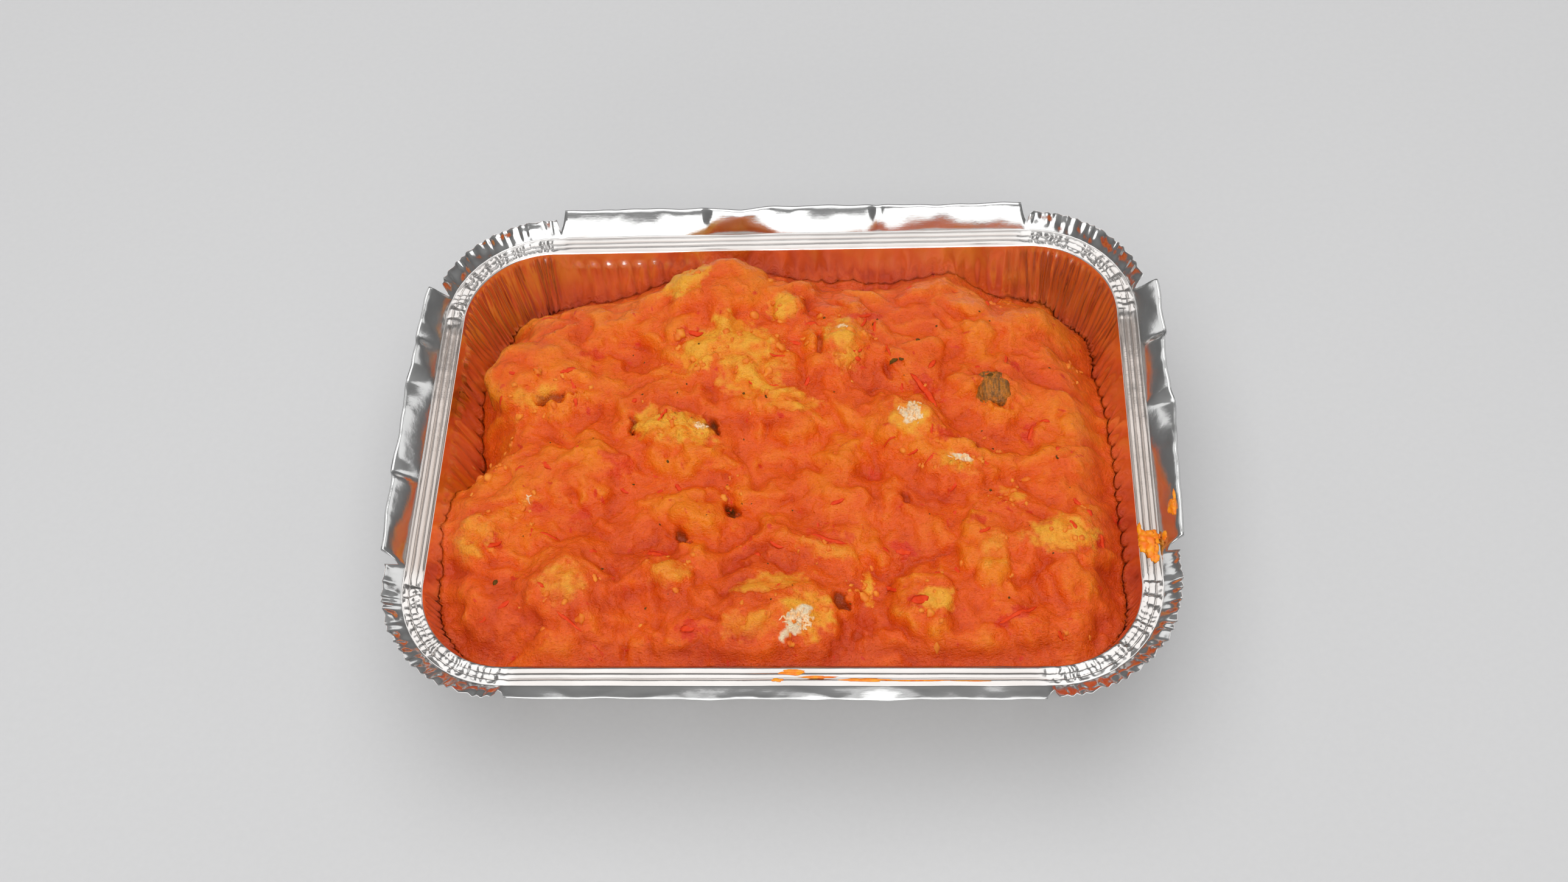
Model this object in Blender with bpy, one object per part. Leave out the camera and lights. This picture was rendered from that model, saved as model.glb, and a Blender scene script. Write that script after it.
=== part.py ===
"""A takeaway meal in a foil tray: battered chicken pieces in a thick orange sauce.

The tray is one sheet of foil with a flat base, fluted walls, a beaded ledge and a lip of four leaning
flaps with a pleated stretch round each corner. The food is one heap of sauce, and each chicken piece
that shows in it is a solid of its own, seated in a hollow of its own shape.
Lengths are in millimetres here and become metres as the meshes are made. The origin is the middle
of the base, on the table; +X runs along the tray, +Y to its back and +Z up.
"""

import math
from typing import NamedTuple

import bmesh
import bpy
import numpy as np
from mathutils import Euler, Matrix, Vector, noise

MM = 0.001

# The tray: the inner edge of its ledge, its height and its foil
LEDGE_HALF_X = 100.0
LEDGE_HALF_Y = 71.0
LEDGE_RADIUS = 25.6
LEDGE_Z = 42.0
LEDGE_WIDTH = 5.6
LEDGE_BEAD = 0.7
FOIL = 0.4
WALL_LEAN_IN = 10.0
BASE_ROUND = 3.5
BASE_ROUND_Z = 2.4
FLUTE_DEPTH = 0.7
FLUTE_LOW_Z = 6.0
FLUTE_HIGH_Z = 38.5

# Columns of the wall mesh: two for each flute, so the counts are even
LONG_COLUMNS = 56
SHORT_COLUMNS = 34
CORNER_COLUMNS = 12

# The lip: four flaps, each over a stretch of its side, with pleats between them and a notch at each end
FLAP_LENGTH = 8.4
FLAPS = {"right": (-37.0, 51.0), "back": (-72.0, 74.0), "left": (-40.0, 52.0), "front": (-74.0, 74.0)}
FLAP_CORNER_SAG = 2.0
PLEAT_LENGTH = 6.0
PLEAT_LEAN = 46.0
NOTCH_LENGTH = 1.6
NOTCH_HALF_WIDTH = 5.0

# How far each flap leans out of upright, at places along it: bent open by hand, each one buckles
LEANS = {
    "right": [(-37, 46), (0, 56), (6, 42), (22, 36), (35, 52), (51, 46)],
    "back": [(-72, 29), (-20, 27), (-4, 24), (12, 46), (24, 30), (74, 29)],
    "left": [(-40, 32), (-26, 36), (-12, 58), (14, 54), (40, 34), (52, 33)],
    "front": [(-74, 42), (0, 40), (74, 47)],
}

# The food
WALL_GAP = 0.45
BASE_GAP = 0.35
SEAT_GAP = 0.35
SAUCE_CELLS_X = 42
SAUCE_CELLS_Y = 29
FOOT_ROUND = 1.0
CREASE = 0.7
BED_DROP = 5.5
LUMP_STEEPNESS = 0.7
LUMP_POWER = 1.4
LOWEST_LUMP = -60.0
FILL_SEED = 7
FILL_PITCH = 15.0
SHOULDER_DROP = 1.4
SHOULDER_WIDTH = 3.4
WELL_DEPTH_SHARE = 0.6
WELL_WIDTH_SHARE = 0.85


# The tray's plan


class Column(NamedTuple):
    """One place round the tray: a point of the ledge's inner edge, the way out of the tray, and the
    flap that the lip belongs to there."""

    x: float
    y: float
    out_x: float
    out_y: float
    lip: str


def rim_columns():
    """The ledge's inner edge, walked once round from the front of the right side, anticlockwise."""
    flat_x = LEDGE_HALF_X - LEDGE_RADIUS
    flat_y = LEDGE_HALF_Y - LEDGE_RADIUS
    sides = [
        (0.0, LEDGE_HALF_X, flat_y, SHORT_COLUMNS),
        (90.0, LEDGE_HALF_Y, flat_x, LONG_COLUMNS),
        (180.0, LEDGE_HALF_X, flat_y, SHORT_COLUMNS),
        (270.0, LEDGE_HALF_Y, flat_x, LONG_COLUMNS),
    ]
    columns = []
    for heading, reach, half, count in sides:
        out = Vector((math.cos(math.radians(heading)), math.sin(math.radians(heading))))
        run = Vector((-out.y, out.x))
        for i in range(count):
            p = out * reach + run * half * (2.0 * i / count - 1.0)
            columns.append(Column(p.x, p.y, out.x, out.y, flap_at(p.x, p.y)))
        middle = out * (reach - LEDGE_RADIUS) + run * half
        for i in range(CORNER_COLUMNS):
            angle = math.radians(heading + 90.0 * i / CORNER_COLUMNS)
            way = Vector((math.cos(angle), math.sin(angle)))
            p = middle + way * LEDGE_RADIUS
            columns.append(Column(p.x, p.y, way.x, way.y, flap_at(p.x, p.y)))
    return columns


def flap_at(x, y):
    """The name of the flap at a point of the ledge's inner edge, or pleat between two flaps."""
    faces = {"right": (x, LEDGE_HALF_X, y), "back": (y, LEDGE_HALF_Y, x)}
    faces |= {"left": (-x, LEDGE_HALF_X, y), "front": (-y, LEDGE_HALF_Y, x)}
    for name, (facing, reach, along) in faces.items():
        low, high = FLAPS[name]
        if facing > reach - FLAP_CORNER_SAG and low <= along <= high:
            return name
    return "pleat"


def lip_lean(column):
    """How far the lip leans out of upright, in degrees."""
    if column.lip == "pleat":
        return PLEAT_LEAN
    along = column.y if column.lip in ("left", "right") else column.x
    places, leans = zip(*LEANS[column.lip])
    return float(np.interp(along, places, leans))


def lip_length(column, columns):
    """The foil's length above the ledge: long on the flaps, short on the pleats, least at a notch."""
    others = [other for other in columns if other.lip != column.lip]
    to_end = min(math.hypot(other.x - column.x, other.y - column.y) for other in others)
    full = PLEAT_LENGTH if column.lip == "pleat" else FLAP_LENGTH
    return NOTCH_LENGTH + (full - NOTCH_LENGTH) * min(to_end / NOTCH_HALF_WIDTH, 1.0)


def foil_profile(column, columns):
    """The top side of the foil from the base outwards, as (outward offset, height, flute share)."""
    slope = WALL_LEAN_IN / LEDGE_Z
    rows = [(-WALL_LEAN_IN - BASE_ROUND, FOIL, 0.0)]
    rows.append((-(LEDGE_Z - BASE_ROUND_Z) * slope, FOIL + BASE_ROUND_Z, 0.0))
    for z in (FLUTE_LOW_Z, FLUTE_HIGH_Z):
        rows.append((-(LEDGE_Z - z) * slope, z, 1.0))
    rows.append((0.0, LEDGE_Z, 0.0))
    rows.append((LEDGE_WIDTH * 0.25, LEDGE_Z + LEDGE_BEAD, 0.0))
    rows.append((LEDGE_WIDTH * 0.6, LEDGE_Z, 0.0))
    rows.append((LEDGE_WIDTH, LEDGE_Z + LEDGE_BEAD / 2.0, 0.0))
    lean = math.radians(lip_lean(column))
    length = lip_length(column, columns)
    rise = rows[-1][1] + math.cos(lean) * length
    rows.append((LEDGE_WIDTH + math.sin(lean) * length, rise, 0.0))
    return rows


def thickened(rows):
    """The underside of the foil: the profile moved FOIL to its right, with mitred corners."""
    points = [Vector((offset, z)) for offset, z, _ in rows]
    moved = []
    for i, point in enumerate(points):
        before = (point - points[i - 1]).normalized() if i else Vector((1.0, 0.0))
        after = (points[i + 1] - point).normalized() if i + 1 < len(points) else before
        side = Vector((before.y, -before.x)) + Vector((after.y, -after.x))
        side.normalize()
        mitre = FOIL / max(side.dot(Vector((before.y, -before.x))), 0.5)
        moved.append(point + side * mitre)
    return [(p.x, p.y, row[2]) for p, row in zip(moved, rows)]


def band(lower, upper):
    """Faces between two rings of vertices that have equal counts, or one twice the other's."""
    faces = []
    if len(lower) == len(upper):
        n = len(lower)
        for i in range(n):
            j = (i + 1) % n
            faces.append((lower[i], lower[j], upper[j], upper[i]))
        return faces
    fine, few = (lower, upper) if len(lower) > len(upper) else (upper, lower)
    n = len(few)
    for i in range(n):
        j = (i + 1) % n
        a, b, c = fine[2 * i], fine[2 * i + 1], fine[(2 * i + 2) % len(fine)]
        faces += [(a, b, few[i]), (b, few[j], few[i]), (b, c, few[j])]
    return faces


def build_tray():
    """The foil tray: rings of vertices up its top side and back down its underside, joined in bands.
    The wall's rings have every column, to carry the flutes, and the others every second one."""
    columns = rim_columns()
    profiles = [foil_profile(column, columns) for column in columns]
    undersides = [thickened(rows) for rows in profiles]
    row_count = len(profiles[0])
    vertices = []

    def ring(side_rows, row):
        fluted = side_rows[0][row][2] > 0.0
        indices = []
        for i, column in enumerate(columns):
            if not fluted and i % 2:
                continue
            offset, z, share = side_rows[i][row]
            offset += share * FLUTE_DEPTH * (0.5 if i % 2 else -0.5)
            place = (column.x + column.out_x * offset, column.y + column.out_y * offset, z)
            indices.append(len(vertices))
            vertices.append([v * MM for v in place])
        return indices

    top = [ring(profiles, row) for row in range(row_count)]
    under = [ring(undersides, row) for row in range(row_count)]
    faces = []
    for rings in (top, under):
        for lower, upper in zip(rings, rings[1:]):
            faces += band(lower, upper)
        hub = len(vertices)
        z = vertices[rings[0][0]][2]
        vertices.append([0.0, 0.0, z])
        faces += [(hub, a, b) for a, b in zip(rings[0], rings[0][1:] + rings[0][:1])]
    faces += band(top[-1], under[-1])
    return closed_object("foil_tray", vertices, faces)


# The heap of sauce


class Mound(NamedTuple):
    """One rounded lump of the heap: its middle, its half sizes, its turn in degrees and its crown
    above the ledge."""

    x: float
    y: float
    half_x: float
    half_y: float
    turn: float
    crown: float


# The lumps that the sauce covers whole, from the back left to the front right
MOUNDS = [
    Mound(-50, 43, 11, 8, -10, -2.0),
    Mound(-53, 21, 10, 9, 20, 1.0),
    Mound(33, 28, 12, 13, 0, 3.5),
    Mound(53, 44, 20, 15, -12, 1.0),
    Mound(79, 30, 12, 11, -25, -3.5),
    Mound(80, 11, 15, 10, -15, -2.0),
    Mound(15, 11, 10, 7, 10, 3.5),
    Mound(49, 4, 11, 10, 30, 1.5),
    Mound(-81, 9, 9, 7, 0, -4.0),
    Mound(-58, -10, 20, 12, 30, 3.0),
    Mound(-84, -25, 14, 14, 20, 0.5),
    Mound(-28, -22, 13, 8, 15, 1.5),
    Mound(18, -5, 9, 7, 50, 2.5),
    Mound(20, -17, 9, 8, 0, 3.5),
    Mound(11, -31, 18, 8, -8, 3.0),
    Mound(34, -21, 8, 7, 0, 2.5),
    Mound(50, -27, 11, 10, 0, 2.5),
    Mound(80, -3, 14, 14, 40, 0.0),
    Mound(68, -23, 9, 9, 0, 0.5),
    Mound(86, -20, 11, 7, 10, -1.5),
    Mound(-30, -42, 18, 9, -15, 2.5),
    Mound(-87, -49, 9, 9, 0, -3.0),
    Mound(-60, -62, 17, 8, -20, -1.0),
    Mound(66, -56, 21, 9, 40, 0.0),
    Mound(86, -55, 8, 10, 0, -4.0),
    Mound(30, -64, 12, 7, 0, -2.0),
    Mound(-26, -65, 10, 6, 0, -2.0),
]

# Where the food meets the wall: the way there from the tray's middle, in degrees, and how far below
# the ledge it lies. The back corners and the left side are scooped out.
SHORE = [
    (0, -13), (16, -16), (30, -26), (45, -29), (54, -22), (61, -10), (71, -14), (90, -14),
    (101, -6), (112, -13), (121, -19), (136, -28), (147, -27), (158, -22), (172, -21), (188, -10),
    (199, -4), (209, -8), (223, -13), (235, -6), (270, -6), (305, -6), (317, -10), (331, -14),
    (344, -12),
]
SHORE_RISE = 8.0
SHORE_RISE_PER_DROP = 0.55


def to_wall(x, y):
    """The distance in from the ledge's inner edge."""
    out_x = np.abs(x) - (LEDGE_HALF_X - LEDGE_RADIUS)
    out_y = np.abs(y) - (LEDGE_HALF_Y - LEDGE_RADIUS)
    past = np.hypot(np.maximum(out_x, 0.0), np.maximum(out_y, 0.0))
    inside = np.minimum(np.maximum(out_x, out_y), 0.0)
    return LEDGE_RADIUS - past - inside


def shore_level(x, y):
    """How far below the ledge the food meets the wall, in the direction of each point."""
    angles = np.array([angle for angle, _ in SHORE], float)
    drops = np.array([drop for _, drop in SHORE], float)
    heading = np.degrees(np.arctan2(y / LEDGE_HALF_Y, x / LEDGE_HALF_X)) % 360.0
    return np.interp(heading, angles, drops, period=360.0)


def fill_mounds():
    """Smaller and lower lumps between the others, on a jittered grid."""
    draw = np.random.default_rng(FILL_SEED)
    lumps = []
    for x in np.arange(-90.0, 91.0, FILL_PITCH):
        for y in np.arange(-60.0, 61.0, FILL_PITCH):
            jitter = draw.uniform(-5.0, 5.0, 2)
            half = draw.uniform(5.0, 8.5, 2)
            turn = draw.uniform(0.0, 180.0)
            crown = draw.uniform(-5.5, -1.0)
            lumps.append(Mound(x + jitter[0], y + jitter[1], half[0], half[1], turn, crown))
    return lumps


def reach_of(lump, x, y):
    """How far points lie from a lump's or a piece's middle, as a share of its half sizes."""
    turn = math.radians(lump.turn)
    dx, dy = x - lump.x, y - lump.y
    u = (dx * math.cos(turn) + dy * math.sin(turn)) / lump.half_x
    v = (-dx * math.sin(turn) + dy * math.cos(turn)) / lump.half_y
    return np.hypot(u, v)


def lump_height(lump, x, y):
    """A lump's height: its crown, less a fall that grows with the distance from its middle."""
    fall = LUMP_STEEPNESS * min(lump.half_x, lump.half_y)
    return lump.crown - fall * reach_of(lump, x, y) ** (2.0 * LUMP_POWER)


def shoulders():
    """The sauce that has risen round each piece, as a lump a little wider and lower than the piece."""
    return [
        Mound(
            piece.x, piece.y, piece.half_x + SHOULDER_WIDTH, piece.half_y + SHOULDER_WIDTH, piece.turn,
            piece.crown - SHOULDER_DROP,
        )
        for piece in PIECES
    ]


def food_height(x, y):
    """The heap's height above the ledge: a bed that falls to the shore line, and on it the lumps,
    joined by a smooth maximum, which leaves creases between them. Under each piece there is a well,
    so that no film of sauce is left on top of the piece."""
    shore = shore_level(x, y)
    rise = SHORE_RISE - SHORE_RISE_PER_DROP * shore
    share = np.clip(to_wall(x, y) / rise, 0.0, 1.0)
    bed = shore * (1.0 - share * share * (3.0 - 2.0 * share))
    heights = [bed - BED_DROP]
    heights += [bed + lump_height(lump, x, y) for lump in MOUNDS + fill_mounds()]
    heights += [lump_height(lump, x, y) for lump in shoulders()]
    total = sum(np.exp(np.maximum(height, LOWEST_LUMP) / CREASE) for height in heights)
    wells = [
        WELL_DEPTH_SHARE * piece.half_z * np.exp(-((reach_of(piece, x, y) / WELL_WIDTH_SHARE) ** 6))
        for piece in PIECES
    ]
    return CREASE * np.log(total) - np.max(wells, axis=0)


def tray_plan(u, v, inset):
    """A square grid laid into the tray's rounded outline: each corner patch becomes a quarter disc."""
    half_x, half_y = LEDGE_HALF_X - inset, LEDGE_HALF_Y - inset
    radius = LEDGE_RADIUS - inset
    x, y = u * half_x, v * half_y
    part_x = np.clip((np.abs(x) - half_x + radius) / radius, 0.0, 1.0)
    part_y = np.clip((np.abs(y) - half_y + radius) / radius, 0.0, 1.0)
    disc_x = radius * part_x * np.sqrt(1.0 - part_y**2 / 2.0)
    disc_y = radius * part_y * np.sqrt(1.0 - part_x**2 / 2.0)
    x = np.sign(x) * (np.minimum(np.abs(x), half_x - radius) + disc_x)
    y = np.sign(y) * (np.minimum(np.abs(y), half_y - radius) + disc_y)
    return x, y


def wall_inset(z):
    """How far the food's side stays in from the ledge's inner edge at a height."""
    return (LEDGE_Z - z) * WALL_LEAN_IN / LEDGE_Z + FLUTE_DEPTH / 2.0 + WALL_GAP


def build_sauce():
    """The heap of sauce: a grid over the tray's plan for its top, and a skirt down to the base."""
    u, v = np.meshgrid(
        np.linspace(-1.0, 1.0, SAUCE_CELLS_X + 1), np.linspace(-1.0, 1.0, SAUCE_CELLS_Y + 1), indexing="ij"
    )
    x, y = tray_plan(u, v, wall_inset(LEDGE_Z))
    z = LEDGE_Z + food_height(x, y)
    x, y = tray_plan(u, v, wall_inset(np.minimum(z, LEDGE_Z)))
    vertices = [list(p) for p in np.stack([x, y, z], -1).reshape(-1, 3) * MM]
    across = SAUCE_CELLS_Y + 1

    def at(i, j):
        return i * across + j

    faces = [
        (at(i, j), at(i + 1, j), at(i + 1, j + 1), at(i, j + 1))
        for i in range(SAUCE_CELLS_X)
        for j in range(SAUCE_CELLS_Y)
    ]
    edge = [(i, 0) for i in range(SAUCE_CELLS_X)]
    edge += [(SAUCE_CELLS_X, j) for j in range(SAUCE_CELLS_Y)]
    edge += [(i, SAUCE_CELLS_Y) for i in range(SAUCE_CELLS_X, 0, -1)]
    edge += [(0, j) for j in range(SAUCE_CELLS_Y, 0, -1)]
    rings = [[at(i, j) for i, j in edge]]
    foot_z = FOIL + BASE_GAP
    foot_inset = WALL_LEAN_IN + BASE_ROUND + FOOT_ROUND
    for height, inset in ((FLUTE_LOW_Z, wall_inset(FLUTE_LOW_Z)), (foot_z, foot_inset)):
        ring = []
        for i, j in edge:
            px, py = tray_plan(np.float64(u[i, j]), np.float64(v[i, j]), inset)
            ring.append(len(vertices))
            vertices.append([px * MM, py * MM, height * MM])
        rings.append(ring)
    for lower, upper in zip(rings, rings[1:]):
        faces += band(lower, upper)
    faces.append(tuple(rings[-1]))
    return closed_object("sauce", vertices, faces)


# The pieces in the sauce


class Piece(NamedTuple):
    """One piece of food that shows: its name, the middle of its top, its half sizes, its turn and
    tilt in degrees, how lumpy it is and how many sides it has round it."""

    name: str
    x: float
    y: float
    crown: float
    half_x: float
    half_y: float
    half_z: float
    turn: float
    tilt: float
    lumpy: float
    around: int


PIECES = [
    Piece("chicken_left", -77, 26, 3.0, 15.5, 11.5, 8.5, 18, 0, 0.26, 16),
    Piece("chicken_back", -20, 54, 6.0, 16.0, 12.5, 10.0, 12, 6, 0.24, 16),
    Piece("chicken_middle", -16, 31, 5.4, 17.0, 9.6, 8.0, -8, 0, 0.26, 16),
    Piece("chicken_split", -5, 12.6, 3.4, 13.5, 5.6, 6.0, -8, 0, 0.28, 16),
    Piece("chicken_cleft", 18, 33, 5.0, 7.5, 10.0, 7.0, 0, 0, 0.26, 16),
    Piece("chicken_torn", -32, 3.5, 5.0, 12.0, 7.6, 6.5, -12, 0, 0.24, 16),
    Piece("chicken_flesh", 37, 5.5, 5.6, 6.2, 6.6, 5.5, 0, 0, 0.28, 16),
    Piece("chicken_front", -2, -54.0, 4.4, 15.0, 9.8, 7.5, 12, 0, 0.22, 16),
    Piece("chicken_dome", 78, -32.5, 3.4, 10.4, 7.6, 6.0, 4, 0, 0.14, 16),
    Piece("chicken_round", -60.5, -48, 4.0, 10.0, 9.0, 6.0, 0, 0, 0.18, 16),
    Piece("chicken_lobe", 59.5, -40, 4.2, 5.2, 9.6, 5.0, -8, 0, 0.22, 10),
    Piece("chicken_cube", 43.5, -52.5, 3.4, 5.2, 4.6, 3.8, 10, 0, 0.18, 10),
    Piece("chicken_shred", 51, -9.5, 4.2, 8.0, 4.2, 4.0, -24, 0, 0.22, 10),
    Piece("chicken_crumb", 1, 46.5, 4.6, 5.2, 5.8, 4.5, 0, 0, 0.22, 10),
    Piece("onion", 62, 18, 3.0, 6.0, 6.8, 4.2, 20, 0, 0.20, 10),
]
LUMP_NOISE = ((1.3, 1.4), (2.7, 0.8))
NOISE_SHIFT = 0.37
PIECE_FOOT = -0.3


def piece_mesh(piece, grown):
    """A lumpy round solid: a sphere with a flat foot, pushed in and out by two noises, sized, turned
    and set in place. The seat's cutter is the same solid with its surface moved out by a gap."""
    mesh = bmesh.new()
    bmesh.ops.create_uvsphere(mesh, u_segments=piece.around, v_segments=piece.around // 2 + 1, radius=1.0)
    every = mesh.verts[:] + mesh.edges[:] + mesh.faces[:]
    foot = (0.0, 0.0, PIECE_FOOT)
    bmesh.ops.bisect_plane(mesh, geom=every, plane_co=foot, plane_no=(0.0, 0.0, -1.0), clear_outer=True)
    bmesh.ops.holes_fill(mesh, edges=[edge for edge in mesh.edges if edge.is_boundary])
    bmesh.ops.triangulate(mesh, faces=mesh.faces)
    bmesh.ops.recalc_face_normals(mesh, faces=mesh.faces)
    shift = Vector((piece.x, piece.y, piece.crown)) * NOISE_SHIFT
    half = (piece.half_x, piece.half_y, piece.half_z)
    for vertex in mesh.verts:
        way = vertex.co.copy()
        lumps = sum(share * noise.noise(way * pitch + shift) for pitch, share in LUMP_NOISE)
        vertex.co = Vector(tuple(w * h * (1.0 + piece.lumpy * lumps) for w, h in zip(way, half)))
    top = max(vertex.co.z for vertex in mesh.verts)
    mesh.normal_update()
    outs = [vertex.normal * vertex.calc_shell_factor() for vertex in mesh.verts]
    for vertex, out in zip(mesh.verts, outs):
        vertex.co += out * grown
    turned = Euler((math.radians(piece.tilt), 0.0, math.radians(piece.turn))).to_matrix().to_4x4()
    place = Matrix.Translation((piece.x, piece.y, LEDGE_Z + piece.crown - top))
    bmesh.ops.transform(mesh, matrix=Matrix.Scale(MM, 4) @ place @ turned, verts=mesh.verts)
    data = bpy.data.meshes.new(piece.name)
    mesh.to_mesh(data)
    mesh.free()
    data.shade_smooth()
    return data


def build_pieces(sauce):
    """Each piece, and in the sauce a seat of its shape."""
    scene = bpy.context.scene.collection.objects
    pieces, cutters = [], []
    for piece in PIECES:
        solid = bpy.data.objects.new(piece.name, piece_mesh(piece, 0.0))
        cutter = bpy.data.objects.new("seat_of_" + piece.name, piece_mesh(piece, SEAT_GAP))
        scene.link(solid)
        scene.link(cutter)
        seat = sauce.modifiers.new("seat_" + piece.name, "BOOLEAN")
        seat.operation = "DIFFERENCE"
        seat.object = cutter
        pieces.append(solid)
        cutters.append(cutter)
    apply_without_scraps(sauce)
    for cutter in cutters:
        bpy.data.objects.remove(cutter)
    return pieces


def connected_to(start):
    """Every face that shared edges join to this one."""
    found, waiting = {start}, [start]
    while waiting:
        face = waiting.pop()
        for edge in face.edges:
            for other in edge.link_faces:
                if other not in found:
                    found.add(other)
                    waiting.append(other)
    return found


def apply_without_scraps(made):
    """Applies the object's modifiers and keeps only the largest body, without the loose scraps that
    the cuts leave."""
    evaluated = made.evaluated_get(bpy.context.evaluated_depsgraph_get())
    data = bpy.data.meshes.new_from_object(evaluated)
    mesh = bmesh.new()
    mesh.from_mesh(data)
    waiting, bodies = set(mesh.faces), []
    while waiting:
        bodies.append(connected_to(next(iter(waiting))))
        waiting -= bodies[-1]
    scraps = set(mesh.faces) - max(bodies, key=len)
    bmesh.ops.delete(mesh, geom=list(scraps), context="FACES")
    mesh.to_mesh(data)
    mesh.free()
    made.modifiers.clear()
    made.data = data


# Objects and finishes


def closed_object(name, vertices, faces):
    """An object from vertices and faces that enclose it, with its faces turned outwards."""
    data = bpy.data.meshes.new(name)
    data.from_pydata(vertices, [], faces)
    mesh = bmesh.new()
    mesh.from_mesh(data)
    bmesh.ops.recalc_face_normals(mesh, faces=mesh.faces)
    mesh.to_mesh(data)
    mesh.free()
    made = bpy.data.objects.new(name, data)
    bpy.context.scene.collection.objects.link(made)
    return made


def finish(name, colour, roughness, metallic):
    """A plain material."""
    material = bpy.data.materials.new(name)
    material.use_nodes = True
    shader = material.node_tree.nodes["Principled BSDF"]
    shader.inputs["Base Color"].default_value = (*colour, 1.0)
    shader.inputs["Roughness"].default_value = roughness
    shader.inputs["Metallic"].default_value = metallic
    return material


def main():
    for old in list(bpy.data.objects):
        bpy.data.objects.remove(old)
    foil = finish("foil", (0.80, 0.80, 0.79), 0.22, 1.0)
    orange = finish("orange_sauce", (0.72, 0.13, 0.02), 0.35, 0.0)
    batter = finish("batter", (0.90, 0.34, 0.04), 0.45, 0.0)
    brown = finish("cooked_onion", (0.30, 0.10, 0.03), 0.30, 0.0)
    tray = build_tray()
    tray.data.materials.append(foil)
    sauce = build_sauce()
    sauce.data.materials.append(orange)
    for solid in build_pieces(sauce):
        solid.data.materials.append(brown if solid.name == "onion" else batter)


main()
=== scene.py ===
# %% [markdown]
# # A takeaway meal in a foil tray
# Battered chicken pieces lie in a thick orange sauce, in an oblong tray of thin foil. The packed
# model of the part comes first, as a fixed frame: it gives every solid its place and its size.
# The scene then puts a finer surface in the place of each solid. Lengths are in millimetres while
# a shape is worked out, and they become metres as its mesh is made.

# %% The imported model
import math
from typing import NamedTuple

import bpy
import numpy as np
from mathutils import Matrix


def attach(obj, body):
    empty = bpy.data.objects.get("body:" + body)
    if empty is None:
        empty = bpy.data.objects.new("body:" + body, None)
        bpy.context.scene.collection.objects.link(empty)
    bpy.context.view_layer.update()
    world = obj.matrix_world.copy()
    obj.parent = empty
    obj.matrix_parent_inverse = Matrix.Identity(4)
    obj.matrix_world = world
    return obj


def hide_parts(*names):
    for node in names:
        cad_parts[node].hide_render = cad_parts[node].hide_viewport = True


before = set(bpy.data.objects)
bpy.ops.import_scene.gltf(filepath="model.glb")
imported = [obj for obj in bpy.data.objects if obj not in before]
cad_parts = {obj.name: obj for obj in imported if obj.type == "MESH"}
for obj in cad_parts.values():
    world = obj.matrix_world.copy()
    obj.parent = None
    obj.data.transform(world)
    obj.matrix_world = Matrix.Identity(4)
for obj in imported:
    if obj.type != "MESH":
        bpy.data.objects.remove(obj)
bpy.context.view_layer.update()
MM = 0.001
print("solids:", ", ".join(sorted(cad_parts)))

# %% [markdown]
# ## The camera
# The photograph was taken from above the tray's front side. Its place and its lens were worked
# out from the ledge's corners, so that the tray's edges fall where they do in the photograph.

# %% Camera
camera = bpy.data.objects.new("camera", bpy.data.cameras.new("camera"))
camera.location = (0.0355, -0.2585, 0.4609)
camera.rotation_euler = [math.radians(angle) for angle in (31.74, 3.76, 1.62)]
camera.data.lens = 38.9
camera.data.sensor_width = 36.0
bpy.context.scene.collection.objects.link(camera)
bpy.context.scene.camera = camera

# %% [markdown]
# ## Noise
# Food and crumpled foil need irregular shapes that are the same on each run. Blender's own noise
# takes one point at a time. This one is worked out for whole arrays: each corner of a square
# lattice gets a slope from its scrambled number, and the four slopes are blended between them.

# %% Noise
LATTICE_X, LATTICE_Y, LATTICE_SEED, SCRAMBLE = 374761393, 668265263, 362437, 1274126177
WORD = 0xFFFFFFFF


def smooth(t):
    """Smooth step: 3t² - 2t³ between 0 and 1, flat outside."""
    t = np.clip(t, 0.0, 1.0)
    return t * t * (3.0 - 2.0 * t)


def noise(x, y, seed):
    """Gradient noise, about -1 to 1: slope · distance at four corners, blended by 6t⁵ - 15t⁴ + 10t³."""
    x, y = np.broadcast_arrays(np.asarray(x, float), np.asarray(y, float))
    whole_x, whole_y = np.floor(x), np.floor(y)
    part_x, part_y = x - whole_x, y - whole_y

    def corner(i, j):
        number = (whole_x + i).astype(np.int64) * LATTICE_X + (whole_y + j).astype(np.int64) * LATTICE_Y
        number = (number + seed * LATTICE_SEED) & WORD
        number = ((number ^ (number >> 13)) * SCRAMBLE) & WORD
        angle = (number ^ (number >> 16)) * (math.tau / WORD)
        return np.cos(angle) * (part_x - i) + np.sin(angle) * (part_y - j)

    blend_x = part_x**3 * (part_x * (part_x * 6.0 - 15.0) + 10.0)
    blend_y = part_y**3 * (part_y * (part_y * 6.0 - 15.0) + 10.0)
    near = corner(0, 0) * (1.0 - blend_x) + corner(1, 0) * blend_x
    far = corner(0, 1) * (1.0 - blend_x) + corner(1, 1) * blend_x
    return 1.5 * (near * (1.0 - blend_y) + far * blend_y)


def layered(x, y, seed, layers, gain=0.5):
    """Noise plus itself at twice the pitch and `gain` times the height, `layers` times in all."""
    return sum(gain**k * noise(x * 2**k, y * 2**k, seed + k) for k in range(layers))


def billow(x, y, seed, soft=0.0):
    """Noise folded upwards, 2·√(noise² + soft²) - 0.7: round lumps of about ±1 with creases between
    them, which are sharp where soft is zero."""
    return 2.0 * np.sqrt(noise(x, y, seed) ** 2 + soft**2) - 0.7


def ridged(x, y, seed):
    """Noise folded at zero, 1 - 2·|noise|, which leaves sharp crests on its zero lines."""
    return 1.0 - 2.0 * np.abs(noise(x, y, seed))


# %% [markdown]
# ## Meshes from grids
# Every new piece is a surface over two parameters. One helper joins the grid's neighbours into
# faces, another makes the object, and a closed body that comes out inside out is turned.

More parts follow.
